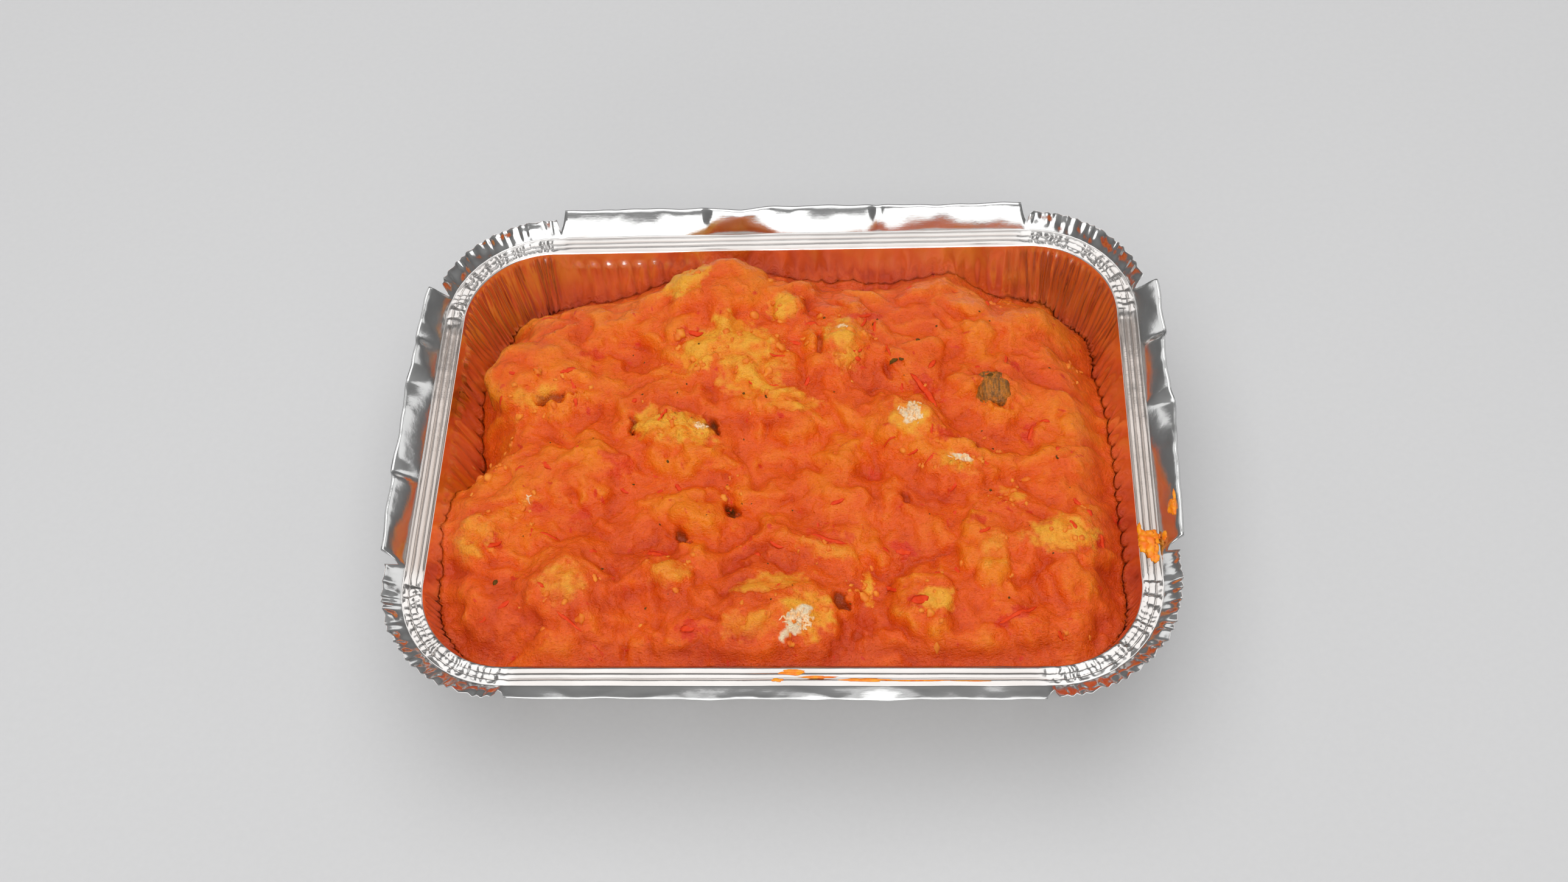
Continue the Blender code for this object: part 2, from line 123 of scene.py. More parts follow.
# %% Grid helpers
def grid_faces(rows, columns, wrap):
    """The four corners of each cell of a grid that is numbered row by row."""
    i, j = np.meshgrid(np.arange(rows - 1), np.arange(columns if wrap else columns - 1), indexing="ij")
    k = (j + 1) % columns
    cells = [i * columns + j, i * columns + k, (i + 1) * columns + k, (i + 1) * columns + j]
    return np.stack(cells, -1).reshape(-1, 4)


def fan(hub, ring):
    """Triangles from one point to each stretch of a closed ring."""
    return np.stack([np.full(len(ring), hub), np.roll(ring, -1), ring], -1)


def volume(points, faces):
    """A closed body's volume, the sum of a · (b × c) / 6 over its triangles: negative if inside out."""
    total = 0.0
    for corners in faces:
        a = points[corners[:, 0]]
        for k in range(1, corners.shape[1] - 1):
            b, c = points[corners[:, k]], points[corners[:, k + 1]]
            total += np.sum(a * np.cross(b, c)) / 6.0
    return total


def make_piece(name, points, faces, closed=True):
    """An object from points in millimetres and a list of face arrays, with its faces outwards."""
    if closed and volume(points, faces) < 0.0:
        faces = [corners[:, ::-1] for corners in faces]
    mesh = bpy.data.meshes.new(name)
    mesh.from_pydata((points * MM).tolist(), [], [f for corners in faces for f in corners.tolist()])
    mesh.shade_smooth()
    piece = bpy.data.objects.new(name, mesh)
    bpy.context.scene.collection.objects.link(piece)
    print(f"{name}: {len(points)} points, {len(mesh.polygons)} faces")
    return piece


def write_shares(piece, shares):
    """Stores numbers from 0 to 1 on a piece's points, for its finish to read."""
    for name, values in shares.items():
        layer = piece.data.attributes.new(name, "FLOAT", "POINT")
        layer.data.foreach_set("value", np.asarray(values, np.float32).ravel())


# %% [markdown]
# ## The tray's plan
# Seen from above the ledge's inner edge is a rounded rectangle. Everything on the tray is measured
# from it: a run along the edge, and an offset outwards from it.

# %% The ledge's inner edge
LEDGE_HALF_X, LEDGE_HALF_Y, LEDGE_RADIUS, LEDGE_Z, LEDGE_WIDTH = 100.0, 71.0, 25.6, 42.0, 5.6
WALL_LEAN_IN, BASE_ROUND, BASE_ROUND_Z = 10.0, 3.5, 2.4
FLAT_X, FLAT_Y = LEDGE_HALF_X - LEDGE_RADIUS, LEDGE_HALF_Y - LEDGE_RADIUS
ARC = LEDGE_RADIUS * math.pi / 2.0
SIDES = {
    "right": (0.0, LEDGE_HALF_X, FLAT_Y), "back": (90.0, LEDGE_HALF_Y, FLAT_X),
    "left": (180.0, LEDGE_HALF_X, FLAT_Y), "front": (270.0, LEDGE_HALF_Y, FLAT_X),
}
LAP = sum(2.0 * half + ARC for _, _, half in SIDES.values())


class Edge(NamedTuple):
    """Places on the ledge's inner edge: the point, the way out, the distance along a straight side
    from its middle, and the distance to the nearer corner, which is zero in a corner."""

    x: np.ndarray
    y: np.ndarray
    out_x: np.ndarray
    out_y: np.ndarray
    straight: np.ndarray
    to_corner: np.ndarray


def edge_at(run):
    """The edge at a run: each side is a straight stretch and then a quarter circle."""
    run = np.mod(np.asarray(run, float), LAP)
    parts = np.zeros((6, *run.shape))
    start = 0.0
    for heading, reach, half in SIDES.values():
        along = run - start
        here = (along >= 0.0) & (along < 2.0 * half + ARC)
        straight = np.clip(along, 0.0, 2.0 * half) - half
        ahead = math.radians(heading)
        cos, sin, far = math.cos(ahead), math.sin(ahead), reach - LEDGE_RADIUS
        turn = ahead + np.clip((along - 2.0 * half) / LEDGE_RADIUS, 0.0, math.pi / 2.0)
        side = np.stack([
            far * cos - straight * sin + LEDGE_RADIUS * np.cos(turn),
            far * sin + straight * cos + LEDGE_RADIUS * np.sin(turn),
            np.cos(turn), np.sin(turn), straight, half - np.abs(straight),
        ])
        parts = np.where(here, side, parts)
        start += 2.0 * half + ARC
    return Edge(*parts)


def run_steps(straight_step, corner_step):
    """Runs once round the edge, closer together in the corners."""
    runs, start = [], 0.0
    for _, _, half in SIDES.values():
        for length, step in ((2.0 * half, straight_step), (ARC, corner_step)):
            count = round(length / step)
            runs.append(start + length * np.arange(count) / count)
            start += length
    return np.concatenate(runs)


def ring_points(edge, offset, z):
    """Points outwards from the edge by an offset, at a height."""
    x, y = edge.x + edge.out_x * offset, edge.y + edge.out_y * offset
    return np.stack(np.broadcast_arrays(x, y, z), -1)


# %% [markdown]
# ## The tray's wall
# The wall was pressed from flat sheet. On the straight sides it has round-topped flutes, which
# stiffen it, and at the corners, where there is too much foil, it is gathered into many fine folds.

# %% Wall relief
FLUTE_PITCH, FLUTE_DEPTH, FLUTE_TOP, ARCH_RISE = 5.0, 1.2, 39.4, 4.0
FOLD_PITCH, FOLD_DEPTH, FOLD_REACH = 2.3, 1.35, 11.0
NEIGHBOUR, SHARP_CREASE = 0.6, 1.3


def wall_relief(run, z):
    """How far the wall stands out of its mean slope. Flute: depth · (0.3 - √(1 - 0.9t²)), with t from
    -1 to 1 across it. It fades out under an arch, more slowly towards the right. Fold: a triangle
    wave of the run, bent by noise."""
    edge = edge_at(run)
    in_corner = smooth(1.0 - edge.to_corner / FOLD_REACH)
    t = 2.0 * np.mod(edge.straight / FLUTE_PITCH, 1.0) - 1.0
    round_top = np.sqrt(1.0 - 0.9 * t * t)
    arch = FLUTE_TOP - ARCH_RISE * (1.0 - round_top) + 0.6 * noise(run / 7.0, 0.0, 3)
    fade = 3.0 + 5.4 * smooth((edge.x + 25.0) / 25.0)
    flute = FLUTE_DEPTH * (0.3 - round_top) * smooth((arch - z) / fade) * smooth((z - 3.0) / 6.0)
    bend = 0.5 * noise(run / 5.0, z / 26.0, 11) + 0.25 * noise(run / 1.7, z / 16.0, 12)
    wave = np.abs(2.0 * np.mod(run / FOLD_PITCH + bend, 1.0) - 1.0)
    gather = 0.7 + 0.9 * noise(run / 3.3, z / 22.0, 13)
    fold = FOLD_DEPTH * gather * (0.5 - wave**0.6) * smooth((41.2 - z) / 3.0) * smooth((z - 2.0) / 4.0)
    dents = 0.25 * noise(run / 8.0, z / 9.0, 14) * smooth((41.0 - z) / 6.0) * smooth((z - 2.0) / 5.0)
    return flute * (1.0 - in_corner) + fold * in_corner + dents


def wall_crease(run, z):
    """1 where the wall is sharply creased: how far a point lies off its neighbours' middle, along the run
    and up the wall. It sets the painted shade in the wall's creases."""
    here = 2.0 * wall_relief(run, z)
    along = wall_relief(run - NEIGHBOUR, z) + wall_relief(run + NEIGHBOUR, z) - here
    upward = wall_relief(run, z - NEIGHBOUR) + wall_relief(run, z + NEIGHBOUR) - here
    return np.clip((np.abs(along) + 0.6 * np.abs(upward)) / SHARP_CREASE, 0.0, 1.0)


def wall_offset(z):
    """The wall's mean slope: its offset from the ledge's inner edge at a height."""
    return (z - LEDGE_Z) * WALL_LEAN_IN / LEDGE_Z


# %% The bowl
FOIL = 0.15
BASE_Z = FOIL + 0.02


def build_bowl():
    """The base, its rounded edge and the wall, as rings from the middle outwards."""
    run = run_steps(0.7, 0.36)
    edge = edge_at(run)
    rings = []
    foot_offset, round_z = -WALL_LEAN_IN - BASE_ROUND, BASE_Z + BASE_ROUND_Z
    foot = ring_points(edge, foot_offset, BASE_Z)
    for share in (0.15, 0.5, 0.8, 0.86, 0.88, 0.9, 0.92, 0.96):
        ring = foot * [share, share, 1.0]
        ring[:, 2] += 0.4 * math.exp(-(((share - 0.89) / 0.018) ** 2))
        rings.append(ring)
    for turn in np.radians(np.linspace(0.0, 78.0, 6)):
        offset = foot_offset + (wall_offset(round_z) - foot_offset) * math.sin(turn)
        rings.append(ring_points(edge, offset, BASE_Z + BASE_ROUND_Z * (1.0 - math.cos(turn))))
    creases = [np.zeros(1 + len(rings) * len(run))]
    for z in np.concatenate([np.linspace(round_z, 33.0, 11), np.linspace(34.2, LEDGE_Z, 12)]):
        rings.append(ring_points(edge, wall_offset(z) + wall_relief(run, z), np.full(len(run), z)))
        creases.append(wall_crease(run, z))
    points = np.concatenate([[[0.0, 0.0, BASE_Z]], *rings])
    cells = grid_faces(len(rings), len(run), True) + 1
    piece = make_piece("tray_bowl", points, [cells, fan(0, np.arange(1, len(run) + 1))], closed=False)
    # The wall's creases get a share of painted shade, which darkens the foil's colour there.
    write_shares(piece, {"crease": np.concatenate(creases)})
    return piece


bowl = build_bowl()

# %% [markdown]
# ## The tray's rim
# The ledge is pressed into three flat rails with narrow grooves, and round the corners crimps cross
# them. Outside it the lip stands up: four hemmed flaps, bent open by hand, and short gathered pleats
# between them. One function gives a point of it all: q runs 0 to 1 across the ledge, 1 to 2 up the
# lip and 2 to 3 round the rolled hem.

# %% Lip tables
PLEAT_LENGTH, NOTCH_LENGTH, NOTCH_WIDTH = 6.0, 1.2, 1.3
PLEAT_LEANS = 33.0, 50.0
HEM_RADIUS, HEM_TURN = 0.6, 5.3
# Where each flap starts and ends along its side, its length, and how much it curls in degrees
FLAPS = {
    "right": (-37.0, 51.0, 8.4, 12.0), "back": (-72.0, 74.0, 8.4, 12.0),
    "left": (-40.0, 52.0, 8.4, 12.0), "front": (-74.0, 74.0, 4.4, 6.0),
}
# Degrees out of upright at places along each flap: a jump in the slope is a fold in the foil
LEANS = {
    "right": [(-37, 34), (-24, 39), (-6, 40), (1, 48), (10, 56), (12, 43), (20, 39), (31, 38),
              (33, 48), (42, 43), (51, 40)],
    "back": [(-72, 34), (-48, 37), (-27, 34), (-24, 27), (-14, 22), (-6, 30), (-4, 34), (12, 37),
             (25, 34), (28, 25), (31, 32), (38, 26), (52, 25), (74, 31)],
    "left": [(-40, 33), (-20, 38), (-14, 40), (-12, 50), (-8, 44), (0, 42), (14, 45), (20, 50),
             (22, 44), (24, 38), (32, 35), (35, 43), (40, 36), (52, 32)],
    "front": [(-74, 69), (-60, 75), (-44, 71), (-20, 78), (8, 74), (30, 80), (45, 73), (60, 78), (74, 72)],
}


def side_coordinate(edge, side):
    """How far out a point faces a side, and its place along that side."""
    return {
        "right": (edge.x - LEDGE_HALF_X, edge.y), "back": (edge.y - LEDGE_HALF_Y, edge.x),
        "left": (-edge.x - LEDGE_HALF_X, edge.y), "front": (-edge.y - LEDGE_HALF_Y, edge.x),
    }[side]


def lip_shape(edge):
    """The lip's lean and curl in radians, its length, and 1 on a flap, 0 on the pleats."""
    lean = np.where(edge.y > 0.0, PLEAT_LEANS[0], PLEAT_LEANS[1])
    end_gap = np.full(edge.x.shape, 1e3)
    on_flap, curl, full = (np.full(edge.x.shape, value) for value in (0.0, 0.0, PLEAT_LENGTH))
    for side, (low, high, flap_length, flap_curl) in FLAPS.items():
        facing, along = side_coordinate(edge, side)
        here = facing > -2.0
        places, leans = zip(*LEANS[side])
        inside = here & (along > low) & (along < high)
        lean = np.where(inside, np.interp(along, places, leans), lean)
        on_flap, curl = np.where(inside, 1.0, on_flap), np.where(inside, flap_curl, curl)
        full = np.where(inside, flap_length, full)
        gap = np.minimum(np.abs(along - low), np.abs(along - high))
        end_gap = np.where(here, np.minimum(end_gap, gap), end_gap)
    length = NOTCH_LENGTH + (full - NOTCH_LENGTH) * smooth(end_gap / NOTCH_WIDTH)
    return np.radians(lean), np.radians(curl), length, on_flap


# %% Rim surface
RAIL_PITCH, RAIL_HEIGHT = 1.75, 0.5
CRIMP_PITCH, CRIMP_HEIGHT = 2.0, 0.55
SERRATION_PITCH, CORNER_REACH = 2.3, 6.0


def rail_profile(offset):
    """Three flat rails across the ledge with grooves between them: |sin(π · offset / pitch)|^0.3."""
    return np.abs(np.sin(math.pi * (offset - 0.3) / RAIL_PITCH)) ** 0.3


def ledge_height(run, offset, in_corner):
    """The rails, and in the corners crimps that cross them: noise stretched across the ledge and
    folded upwards."""
    rail = RAIL_HEIGHT * rail_profile(offset)
    rise = smooth(offset / 0.6)
    shift = 0.25 * noise(run / 5.0, offset / 2.2, 21)
    crimp = CRIMP_HEIGHT * billow(run / CRIMP_PITCH + shift, offset / 12.0, 24)
    crimp += 0.12 * noise(run / 0.9, offset / 2.5, 25)
    crimp *= smooth(1.6 * np.sin(math.pi * np.clip(offset / LEDGE_WIDTH, 0.0, 1.0)))
    dents = 0.16 * noise(run / 17.0, offset / 9.0, 22) + 0.03 * noise(run / 4.0, offset / 4.0, 23)
    return rise * (rail * (1.0 - 0.35 * in_corner) + crimp * in_corner + dents)


def rim_point(run, q):
    """A point of the rim: out across the ledge, then up the leaning lip, which curls and whose folds
    grow with its height, then round a circle of the hem's radius."""
    run, q = np.broadcast_arrays(run, q)
    edge = edge_at(run)
    in_corner = smooth(1.0 - edge.to_corner / CORNER_REACH)
    across, up, round_hem = (np.clip(q - k, 0.0, 1.0) for k in range(3))
    lean, curl, length, on_flap = lip_shape(edge)
    offset = LEDGE_WIDTH * across
    z = LEDGE_Z + ledge_height(run, offset, in_corner)
    in_pleat = (1.0 - on_flap) * smooth(length / PLEAT_LENGTH)
    serration = np.abs(2.0 * np.mod(run / SERRATION_PITCH + 0.5 * noise(run / 4.0, 0.0, 31), 1.0) - 1.0)
    length = length * (1.0 + 0.05 * noise(run / 9.0, 0.0, 32) * on_flap)
    length = length + 0.35 * (serration - 0.5) * in_pleat
    buckle = 0.55 * np.abs(noise(run / 16.0, up * 0.6, 33))
    buckle += 0.12 * np.abs(noise(run / 5.0, up * 1.3, 34))
    gather = 0.7 * (serration - 0.5) + 0.6 * noise(run / 3.6, up * 1.4, 35)
    gather += 0.15 * noise(run / 1.5, up * 2.5, 36)
    fold = up * (on_flap * (buckle - 0.2) + in_pleat * gather)
    lean = lean + curl * 0.5 * (up - 1.0)
    along = length * up
    hem = HEM_RADIUS * on_flap * smooth((length - 3.0) / 4.0) + 0.04
    roll = round_hem * HEM_TURN
    along = along + hem * np.sin(roll)
    fold = fold + hem * (1.0 - np.cos(roll))
    offset = offset + along * np.sin(lean) + fold * np.cos(lean)
    z = z + along * np.cos(lean) - fold * np.sin(lean)
    return ring_points(edge, offset, z)


def ledge_shade(run, q):
    """The painted reflection and shade on the ledge, standing in for how much of the food and the room's
    dark side each point of it mirrors: 0.5, up to 1 at the two short sides, more in the grooves, less in
    the corners, and none on the lip."""
    run, q = np.broadcast_arrays(run, q)
    edge = edge_at(run)
    groove = 1.0 - rail_profile(LEDGE_WIDTH * np.clip(q, 0.0, 1.0))
    shade = 0.5 + 0.45 * smooth((np.abs(edge.x) - 84.0) / 12.0) + 0.5 * groove
    shade *= 1.0 - 0.45 * smooth(1.0 - edge.to_corner / CORNER_REACH)
    return np.clip(shade, 0.0, 1.2) * smooth((1.15 - q) / 0.25)


def build_rim():
    """The rim as a grid of runs and q."""
    run = run_steps(1.0, 0.36)
    parts = (0.0, 1.0, 29), (1.06, 2.0, 10), (2.12, 3.0, 7)
    rows = np.concatenate([np.linspace(*part) for part in parts])
    points = rim_point(run[None, :], rows[:, None])
    faces = grid_faces(len(rows), len(run), True)
    piece = make_piece("tray_rim", points.reshape(-1, 3), [faces], closed=False)
    # The ledge gets a share of painted shade: a painted reflection of the food and the room's dark side.
    write_shares(piece, {"crease": ledge_shade(run[None, :], rows[:, None]).ravel()})
    return piece


rim = build_rim()

# %% [markdown]
# Foil is a sheet, so both pieces get their thickness from a Solidify modifier, on the side that
# their faces turn away from. The ledge's faces have to look up for that.

# %% Foil thickness
for sheet in (bowl, rim):
    if sum(face.normal.z * face.area for face in sheet.data.polygons) < 0.0:
        sheet.data.flip_normals()
    thickness = sheet.modifiers.new("thickness", "SOLIDIFY")
    thickness.thickness = FOIL * MM
    thickness.offset = -1.0
    thickness.use_even_offset = False

# %% [markdown]
# ## The heap of food
# The sauce is a height over the tray's plan: a bed that falls to the line where it meets the wall,
# and on it rounded lumps, joined by a smooth maximum that leaves creases between them. The same
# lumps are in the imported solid, and here noise bends them and adds the small forms.

# %% Lumps
class Lump(NamedTuple):
    """A rounded lump: its middle, half sizes, turn in degrees and crown above the ledge."""

    x: float
    y: float
    half_x: float
    half_y: float
    turn: float
    crown: float


class Chunk(NamedTuple):
    """A piece of food that shows: its name, middle, crown, half sizes, turn and lumpiness."""

    name: str
    x: float
    y: float
    crown: float
    half_x: float
    half_y: float
    half_z: float
    turn: float
    lumpy: float


LUMPS = [Lump(*values) for values in (
    (-50, 43, 11, 8, -10, -2.0), (-53, 21, 10, 9, 20, 1.0), (33, 28, 12, 13, 0, 3.5),
    (51, 44, 18, 13, -12, 1.0), (77, 28, 10, 11, -25, -3.0), (80, 11, 15, 10, -15, -2.0),
    (15, 11, 10, 7, 10, 3.5), (49, 4, 11, 10, 30, 1.5), (-77, 6, 8, 7, 0, -3.0),
    (-58, -10, 20, 12, 30, 3.0), (-84, -25, 14, 14, 20, 0.5), (-28, -22, 13, 8, 15, 1.5),
    (18, -5, 9, 7, 50, 2.5), (20, -17, 9, 8, 0, 3.5), (11, -31, 18, 8, -8, 3.0),
    (34, -21, 8, 7, 0, 2.5), (50, -27, 11, 10, 0, 2.5), (80, -3, 14, 14, 40, 0.0),
    (68, -23, 9, 9, 0, 0.5), (86, -20, 11, 7, 10, -1.5), (-30, -42, 18, 9, -15, 2.5),
    (-87, -49, 9, 9, 0, -3.0), (-60, -62, 17, 8, -20, -1.0), (66, -56, 21, 9, 40, 0.0),
    (86, -55, 8, 10, 0, -4.0), (30, -64, 12, 7, 0, -2.0), (-26, -65, 10, 6, 0, -2.0),
)]
CHUNKS = [Chunk(*values) for values in (
    ("chicken_left", -77, 26, 3.0, 15.5, 11.5, 8.5, 18, 0.26),
    ("chicken_back", -20, 54, 6.0, 16.0, 12.5, 10.0, 12, 0.24),
    ("chicken_middle", -16, 31, 5.4, 17.0, 9.6, 8.0, -8, 0.26),
    ("chicken_split", -5, 12.6, 3.4, 13.5, 5.6, 6.0, -8, 0.28),
    ("chicken_cleft", 18, 33, 5.0, 7.5, 10.0, 7.0, 0, 0.26),
    ("chicken_torn", -32, 3.5, 5.0, 12.0, 7.6, 6.5, -12, 0.24),
    ("chicken_flesh", 37, 5.5, 5.6, 6.2, 6.6, 5.5, 0, 0.28),
    ("chicken_front", -2, -54.0, 4.4, 15.0, 9.8, 7.5, 12, 0.22),
    ("chicken_dome", 78, -32.5, 3.4, 10.4, 7.6, 6.0, 4, 0.14),
    ("chicken_round", -60.5, -48, 4.0, 10.0, 9.0, 6.0, 0, 0.18),
    ("chicken_lobe", 59.5, -40, 4.2, 5.2, 9.6, 5.0, -8, 0.22),
    ("chicken_cube", 43.5, -52.5, 3.4, 5.2, 4.6, 3.8, 10, 0.18),
    ("chicken_shred", 51, -9.5, 4.2, 8.0, 4.2, 4.0, -24, 0.22),
    ("chicken_crumb", 1, 46.5, 4.6, 5.2, 5.8, 4.5, 0, 0.22),
    ("onion", 62, 18, 3.0, 6.0, 6.8, 4.2, 20, 0.20),
)]
# Where the food meets the wall: the way there from the middle in degrees, and the drop from the ledge
SHORE = [
    (0, -13), (16, -16), (30, -26), (45, -29), (54, -22), (61, -10), (71, -14), (90, -14), (101, -6),
    (112, -13), (121, -19), (136, -28), (147, -27), (158, -24), (170, -29), (180, -24), (189, -10),
    (199, -4), (209, -8), (223, -13), (235, -6), (270, -6), (305, -6), (317, -10), (331, -14),
    (344, -12),
]


def small_lumps():
    """Smaller and lower lumps between the others, on a shaken grid."""
    draw = np.random.default_rng(7)
    lumps = []
    for x in np.arange(-90.0, 91.0, 15.0):
        for y in np.arange(-60.0, 61.0, 15.0):
            shift, half = draw.uniform(-5.0, 5.0, 2), draw.uniform(6.0, 10.0, 2)
            turn, crown = draw.uniform(0, 180), draw.uniform(-6.5, -2)
            lumps.append(Lump(x + shift[0], y + shift[1], *half, turn, crown))
    return lumps


LUMPS += small_lumps()


def turned(item, x, y):
    """Offsets from an item's middle along its own axes, as shares of its half sizes."""
    turn = math.radians(item.turn)
    dx, dy = x - item.x, y - item.y
    along = (dx * math.cos(turn) + dy * math.sin(turn)) / item.half_x
    return along, (-dx * math.sin(turn) + dy * math.cos(turn)) / item.half_y


# %% Bed
def to_wall(x, y):
    """The distance in from the ledge's inner edge."""
    out_x, out_y = np.abs(x) - FLAT_X, np.abs(y) - FLAT_Y
    past = np.hypot(np.maximum(out_x, 0.0), np.maximum(out_y, 0.0))
    return LEDGE_RADIUS - past - np.minimum(np.maximum(out_x, out_y), 0.0)


def bed_height(x, y):
    """Zero in the middle, falling by a smooth step to the shore line along the wall."""
    angles, drops = zip(*SHORE)
    heading = np.degrees(np.arctan2(y / LEDGE_HALF_Y, x / LEDGE_HALF_X)) % 360.0
    shore = np.interp(heading, angles, drops, period=360.0)
    return shore * (1.0 - smooth(to_wall(x, y) / (8.0 - 0.65 * shore)))


# %% [markdown]
# ## What shows where
# The batter shows yellow where the sauce is thin, the meat shows pale where a piece has torn, an onion
# shows through an open place, and there are red pepper stains and holes, whose dark colour is painted
# shade. Each of these is a table of soft-edged patches, which both the shape and the colours use.

# %% Patches
# (x, y, half length, half width, turn, strength)
BARE = [
    (-31, 57, 9, 6.2, 50, 1.0), (-24, 33, 9, 6.2, 35, 0.95), (-13, 36, 10.1, 5.6, -25, 1.0),
    (-26, 27, 5.6, 4.5, 0, 0.8), (-4, 27, 7.8, 3.9, -30, 0.45), (-9, 19, 11.2, 5.6, -10, 0.75),
    (3, 13, 10.1, 4.5, -8, 0.6), (-1, 46, 5, 5.6, 0, 0.75), (17, 36, 5.6, 6.7, 0, 0.7),
    (19, 28, 4.5, 5.6, 0, 0.55), (-39, 6, 5.6, 5.6, 20, 0.95), (-29, 3, 10.1, 5.6, -15, 1.0),
    (37, 5, 5.6, 6.2, 0, 0.9), (79, -32, 10.1, 6.2, 5, 0.85), (-60, -47, 6.7, 6.7, 0, 0.55),
    (-30, -43, 6.7, 4.5, 0, 0.35), (-2, -47, 12.3, 3.9, 12, 0.6), (9, -56, 6.7, 6.7, 30, 0.9),
    (-7, -60, 9, 3.9, 0, 0.4), (43.5, -52, 5, 4.5, 10, 0.85), (50, -9, 6.7, 2.9, -24, 0.75),
    (-74, 17, 9, 3.9, 20, 0.5), (-88, -30, 6.7, 7.8, 20, 0.35), (-76, -20, 4.5, 2.2, 20, 0.55),
    (25, -46, 1.8, 5.6, 0, 0.8), (66, -18, 4.5, 2.2, -30, 0.5), (60, -38, 3.4, 6.7, -8, 0.4),
    (14, -36, 10.1, 2.7, -10, 0.3), (-12, 28, 12, 8, -30, 0.62),
]
TORN = [
    (-30, 4, 11, 6, -12, 1.0), (7, -54, 9, 7, 20, 1.0), (37, 5, 6, 7, 0, 1.0), (50, -9, 7, 3, -24, 0.9),
    (-7, 19, 11, 4, -10, 0.6), (18, 34, 5, 9, 0, 0.5), (-73, 16, 9, 3.5, 20, 0.7),
    (25, -46, 2, 6, 0, 0.8), (43.5, -52, 4, 4, 0, 0.4), (-25, 25, 6, 3, -20, 0.5),
    (-14, -20, 4, 4, 0, 0.6),
]
FLESH = [
    (37.5, 6, 3.6, 4.2, 20, 1.0), (6.0, -58.0, 6.4, 2.6, 50, 0.9), (-24, 3.5, 3.0, 1.4, -30, 0.5),
    (17, 38, 2.4, 1.6, 0, 0.5), (52, -8, 3.8, 1.0, -24, 0.8), (-73, -18, 1.0, 0.8, 0, 0.7),
]
# Holes: the food is dug down here, and its colour is painted dark, as painted shade in the holes.
SHADED_HOLES = [
    (-20.5, 4.5, 2.2, 2.8, 20, 1.0), (-14, -21, 2.2, 2.4, 0, 1.0), (-27.5, -30, 1.6, 2.8, 30, 0.8),
    (57, -3, 1.6, 1.4, 0, 0.8), (17.5, -51, 2.4, 3, 20, 0.8), (-44, 6, 1.4, 3.4, 10, 0.7),
    (10.5, 33, 1.2, 4, 0, 0.6), (36, -19, 1.4, 2.2, 30, 0.5), (31, 24, 1.0, 3.0, 15, 0.4),
    (-69, 16.5, 7, 1.6, 12, 0.7), (22, -60, 2, 1.4, 0, 0.4),
]
OPEN = [(62, 17.0, 5.0, 7.0, 20, 1.0)]
REDS = [
    (-47, -7, 6.4, 3.8, 0, 0.56), (-27, 37, 4, 1.9, -20, 0.8), (-59, 33, 4, 2.2, 30, 0.64),
    (72, 4, 2, 3.8, -10, 0.8), (68, 26, 1.6, 2.2, 0, 0.72), (47, 0, 4, 2.6, 20, 0.72),
    (35, -35, 4, 3, -10, 0.8), (39, -53, 4, 2.6, 10, 0.8), (-35, -36, 4, 2.2, -20, 0.8),
    (-82, -33, 3.2, 3, 0, 0.72), (-24, -60, 4, 2.6, 0, 0.8), (90, -32, 2, 3, 0, 0.8),
    (66, -56, 7.2, 2.2, 25, 0.72), (24, 44, 5.6, 2.2, 20, 0.64), (14, -32, 8, 3.8, -15, 0.48),
    (-71, -20, 3.2, 1.9, 0, 0.64), (42, 18, 4, 6, 20, 0.64), (56, -28, 2.4, 2.2, 0, 0.64),
    (-57, -22, 4.8, 2.2, 30, 0.48), (27, -10, 2.4, 3, 0, 0.48),
]


def patch(table, x, y, fray, seed):
    """The strongest of a table's patches at each point: strength · step(reach), with a frayed edge."""
    shares = np.zeros(np.shape(x))
    edge = fray * (noise(x / 3.1, y / 3.1, seed) + 0.5 * noise(x / 1.3, y / 1.3, seed + 1))
    for px, py, half_x, half_y, turn, strength in table:
        reach = np.hypot(*turned(Lump(px, py, half_x, half_y, turn, 0.0), x, y))
        shares = np.maximum(shares, strength * smooth(1.7 - 1.4 * reach + edge))
    return shares


# %% Chunk tops
SOFT_CREASE = 0.12
NOWHERE, FAR_DOWN = -60.0, -40.0


def bent(x, y):
    """Points pushed about by noise, so that round forms drawn on them become irregular."""
    far_x, far_y = 3.4 * noise(x / 13.0, y / 13.0, 61), 3.4 * noise(x / 13.0, y / 13.0, 63)
    near_x, near_y = 1.5 * noise(x / 4.6, y / 4.6, 62), 1.5 * noise(x / 4.6, y / 4.6, 64)
    ragged = 0.5 * noise(x / 1.7, y / 1.7, 65)
    return x + far_x + near_x + ragged, y + far_y + near_y - ragged


def slabs(x, y, count, seed):
    """Sloping slabs with short steep edges: noise cut into levels, level + 0.7 · step + 0.3 · rest."""
    level = count * noise(x, y, seed)
    rest = level - np.floor(level)
    return np.floor(level) + 0.7 * smooth(rest * 2.0 - 0.5) + 0.3 * rest


def chunk_reach(chunk, x, y):
    """The distance from a chunk's middle as a share of its outline, an ellipse bent by noise."""
    u, v = turned(chunk, x, y)
    size = np.hypot(u, v) + 1e-6
    bend = noise(1.6 * u / size + chunk.x, 1.6 * v / size + chunk.y, 41)
    return size / (1.0 + 0.9 * chunk.lumpy * bend)


def chunk_top(chunk, x, y):
    """A chunk's smooth top: crown - half_z · (1 - √(1 - reach^3.2)), with broad lumps on it."""
    reach = np.clip(chunk_reach(chunk, x, y), 0.0, 1.0)
    bent_x, bent_y = bent(x, y)
    lump = noise(x / 7.0 + chunk.x, y / 6.0, 42) + 0.5 * noise(x / 3.4, y / 3.4 + chunk.y, 43)
    lump += 0.25 * billow(bent_x / 5.2, bent_y / 4.4, 68, SOFT_CREASE)
    dome = chunk.half_z * (np.sqrt(1.0 - reach**3.2) - 1.0)
    return chunk.crown - 0.4 + dome + 4.4 * chunk.lumpy * lump * (1.0 - reach**4)


